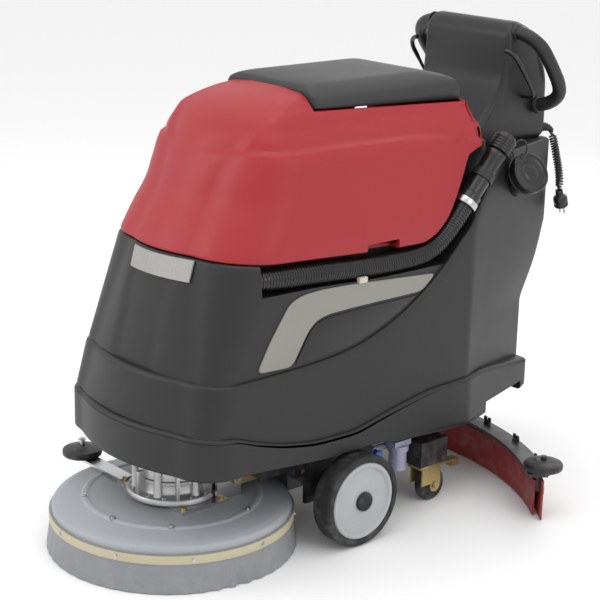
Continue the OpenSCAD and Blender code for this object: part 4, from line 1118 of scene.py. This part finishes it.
def makeTether():
    middle, radius, wire = Vector(hoses["tetherAt"]), hoses["tetherRadius"], hoses["tetherWire"]
    rows = []
    for t in (2 * math.pi * k / 48 for k in range(48)):
        p = middle + Vector((3, radius * math.cos(t), radius * math.sin(t)))
        out = (p - middle).normalized() * wire
        rows.append([p + out * math.cos(a) + Vector((wire * math.sin(a), 0, 0))
                     for a in (2 * math.pi * j / 8 for j in range(8))])
    piece("capTether", [skin(rows + [rows[0]])], "chassis", "hose_black")
    piece("hoseClip", [block(222, 232, 8, 30, 560, 572, 2)], "chassis", "cage_cream")


cap = {"place": (211, 521.5, 714.6), "lean": 60, "yaw": 10, "grips": 36, "groove": 0.7}


def makeCap():
    lean, yaw = math.radians(cap["lean"]), math.radians(cap["yaw"])
    axis = Vector((math.sin(lean) * math.cos(yaw), -math.sin(lean) * math.sin(yaw), 0.5))

    def grip(t, h):
        return -cap["groove"] if int(t * cap["grips"] / math.pi) % 2 and 5 < h < 23 else 0
    profile = [(36.6, 13.4), (36.6, 2.2), (44.6, 2), (46, 3.4), (46, 5), (45, 6), (45, 22), (45.6, 23.5),
               (45.6, 25.6), (44, 27.6), (41, 28.4), (38.6, 28), (37.4, 25.4), (36, 24.6), (22, 24),
               (20, 25.6), (10, 26.4)]
    shell = lathe(profile, Vector(cap["place"]), axis, 144, wobble=grip)
    piece("fillerCap", [shell], "cap", "hose_black", ["filler_cap"], 40)


makeHoses()
makeCuff()
makeTether()
makeCap()
print("hoses and cap made")


# Brush deck.
deck = {  # screws are given by their angles in degrees
    "y": -291, "radius": 250, "skirt": 262, "waves": 46,
    "bandScrews": (-99, -63, -28, 8, 45, 81, 117, 153, 189, 225),
    "topScrews": (-78, -38, 20, 75, 130, 190, 240),
}
motor = {
    "bore": 12.55, "posts": 76, "fins": 6,
    "bolts": (12, 48, 72, 108, 132, 168, 192, 228, 252, 288, 312, 348),
}


def onCircle(radius, z, angles, outward=False):  # spots about the brush's axis, with the way each one faces
    spots = []
    for degrees in angles:
        x, y = math.cos(math.radians(degrees)), math.sin(math.radians(degrees))
        spots.append(((radius * x, deck["y"] + radius * y, z), (x, y, 0) if outward else (0, 0, 1)))
    return spots


def ruffle(t, h):  # the skirt's folds, deeper towards the floor and on the side by the near wheel
    low = min(1, max(0, (78 - h) / 76))
    near = math.exp(-((math.atan2(math.sin(t + 0.15), math.cos(t + 0.15))) / 0.22) ** 2)
    wave = 0.5 + 0.5 * math.sin(t * deck["waves"] + 1.4 * math.sin(3 * t))
    return -low * (1.1 * wave + 7 * near * (0.5 + 0.5 * math.sin(t * deck["waves"])))


def makeDeck():
    centre, r, hem = (0, deck["y"], 0), deck["radius"], deck["skirt"]
    cover = rounded([(30, 100), (30, 108), (172, 108), (177, 110.4), (185, 110.4), (189, 106), (232, 100.5),
                     (246, 96), (r, 90), (r, 60), (245, 60), (245, 87), (232, 94), (180, 100)], 3, 3, True)
    piece("deckCover", [lathe(cover, centre, sides=144, loop=True)], "deck", "cover_grey", ["deck_cover"], 50)
    outer = [(r + 4, 82), (r + 4, 62)] + [(lerp(r + 4, hem, i / 8), lerp(60, 2, i / 8)) for i in range(9)]
    inner = [(lerp(hem - 4, r, i / 8), lerp(2, 60, i / 8)) for i in range(9)] + [(r, 82)]
    skirt = lathe(outer + inner, centre, sides=360, loop=True, wobble=ruffle)
    piece("deckSkirt", [skirt], "deck", "skirt_grey", ["deck_skirt"], 60)
    band = rounded([(r + 4, 62), (r + 6, 62), (r + 6, 80), (r + 4, 80)], 0.6, 2, True)
    piece("clampBand", [lathe(band, centre, sides=144, loop=True)], "deck", "strap_cream",
          ["skirt_strap"], 50)
    screws("bandScrews", onCircle(r + 6, 71, deck["bandScrews"], True), "deck", "steel", 3.4, 3.2, 5, 12)
    screws("deckScrews", onCircle(182, 110.4, deck["topScrews"]), "deck", "steel", 4.2, 4, 7)


def makeGearmotor():
    bore, posts, turnBy = motor["bore"], motor["posts"], 360 // motor["fins"]
    casting = [(bore, 114), (94, 114), (96, 116), (96, 122), (93, 126), (80, 127), (76, 130), (73, 134),
               (73, 150), (76, 152), (76, 158), (73, 160), (73, 178), (71, 184), (60, 188), (54.5, 190),
               (54.5, 262), (51, 266), (20, 266), (20, 187), (bore, 186)]
    post = [(9, 126), (10.5, 128), (9, 132), (8.6, 170), (8.6, 184), (6, 186)]
    shells = [lathe(casting, (0, deck["y"], 0), sides=96, loop=True)]
    shells += [lathe(post, spot, sides=24) for spot, _ in onCircle(posts, 0, range(0, 360, turnBy))]
    for degrees in range(turnBy // 2, 360 + turnBy // 2, turnBy):
        turn = Matrix.Translation(Vector((0, deck["y"], 0))) @ Matrix.Rotation(math.radians(degrees), 4, "Z")
        shells.append(block(68, 90, -3.5, 3.5, 125, 176, 1.6, turn))
    piece("gearmotorCasting", shells, "deck", "cast_alloy", ["gearmotor"], 40)
    screws("motorBolts", onCircle(88, 126.5, motor["bolts"]), "deck", "steel", 4.6, 4.5, 0.1)
    plateBolts = [((x, deck["y"] + y, 114), (0, 0, 1)) for y in (-48, 48) for x in (-102, 102)]
    screws("plateBolts", plateBolts, "deck", "zinc", 5.6, 5, 9)


squeegee = {"arch": 650, "archY": -94, "knobs": (-33, -22, -11, 11, 22, 33), "knobArch": 652}
roller = {"wall": (-265, -335, 119.5), "endX": 405, "endZ": 110.5}


def rollerShell(x, y, z):
    profile = rounded([(6.05, 0), (41, 0), (43, 3), (43, 11), (41, 14), (33, 16.2), (20, 19), (17, 21),
                       (6.05, 21)], 1.5, 2, True)
    return lathe(profile, (x, y, z), sides=72, loop=True)


def makeRollers():
    piece("wallRoller", [rollerShell(*roller["wall"])], "bumper", "caster_rubber", ["bumper_roller"])
    x, z = roller["endX"], roller["endZ"]
    y = squeegee["archY"] + math.sqrt(squeegee["arch"] ** 2 - x ** 2) + 2
    for side, name in ((1, "left"), (-1, "right")):
        piece(f"{name}EndRoller", [rollerShell(side * x, y, z)], f"end_roller_{name}", "caster_rubber",
              [f"roller_{name}"])
    screws("bumperBolt", [((*roller["wall"][:2], 154), (0, 0, 1))], "deck", "steel", 6, 4, 9)


makeDeck()
makeGearmotor()
makeRollers()
print("deck made")


# Wheels, casters and squeegee details.
wheel = {"place": (222, 0, 100), "radius": 100, "width": 55}
caster = {"place": (185, 290, 37.5), "radius": 37.4, "nutOut": 21}


def makeWheels():
    r, w = wheel["radius"], wheel["width"]
    tyre = rounded([(84, 3), (92, 0), (r - 2, 2.5), (r, 9), (r, w - 9), (r - 2, w - 2.5), (92, w),
                    (84, 52)], 4, 4, True)
    rim = rounded([(10.05, 6), (60, 5), (83.9, 4), (83.9, 50), (81, 53.6), (76, 54), (72.5, 50),
                   (70, 45.6), (44, 46.4), (32, 49), (24, 51), (10.05, 51)], 3, 3, True)
    hubCap = [(20.8, 50), (21, 56), (19.6, 58.4), (15, 59), (14, 57.6), (5, 57.4)]
    rows = (("Tyre", tyre, 128, "tyre_rubber", "tyre"), ("Rim", rim, 128, "rim_grey", "rim"),
            ("HubCap", hubCap, 64, "tyre_rubber", None))
    for side, name in ((1, "left"), (-1, "right")):
        for label, profile, facets, slotName, node in rows:
            shell = lathe(profile, wheel["place"], (1, 0, 0), facets, label != "HubCap")
            piece(name + label, [shell if side > 0 else mirrored(shell)], f"wheel_{name}", slotName,
                  [f"{node}_{name}"] if node else ())


def makeCasters():
    r = caster["radius"]
    tread = rounded([(5.05, -14), (12, -14), (13, -12), (30, -11), (34, -12), (r, -8), (r, 8), (34, 12),
                     (30, 11), (13, 12), (12, 14), (5.05, 14)], 1.6, 3, True)
    x, y, z = caster["place"]
    for side, name in ((1, "left"), (-1, "right")):
        piece(f"{name}CasterTread", [lathe(tread, (side * x, y, z), (1, 0, 0), 72, True)],
              f"caster_tread_{name}", "caster_rubber", [f"caster_wheel_{name}"])
        nuts = [((side * x + out * caster["nutOut"], y, z), (out, 0, 0)) for out in (-1, 1)]
        screws(f"{name}CasterNuts", nuts, f"caster_{name}", "zinc", 6.4, 4, 9)


def makeSqueegee():
    knob = rounded([(3.4, 95), (3.4, 103), (8.4, 103.2), (8.4, 108), (5, 110)], 1, 2)
    shells = []
    for degrees in squeegee["knobs"]:
        a = math.radians(90 + degrees)
        r = squeegee["knobArch"]
        place = (r * math.cos(a), squeegee["archY"] + r * math.sin(a), 0)
        turn = Matrix.Translation(Vector(place)) @ Matrix.Rotation(a, 4, "Z")
        shells.append(lathe(knob, place, sides=24))
        shells += [block(-2.4, 2.4, y, y + 9, 107, 117.6, 1.8, turn) for y in (-12, 3)]
    piece("wingKnobs", shells, "squeegee", "hose_black", ["wing_screws"])


makeWheels()
makeCasters()
makeSqueegee()
print("wheels, casters and squeegee details made")
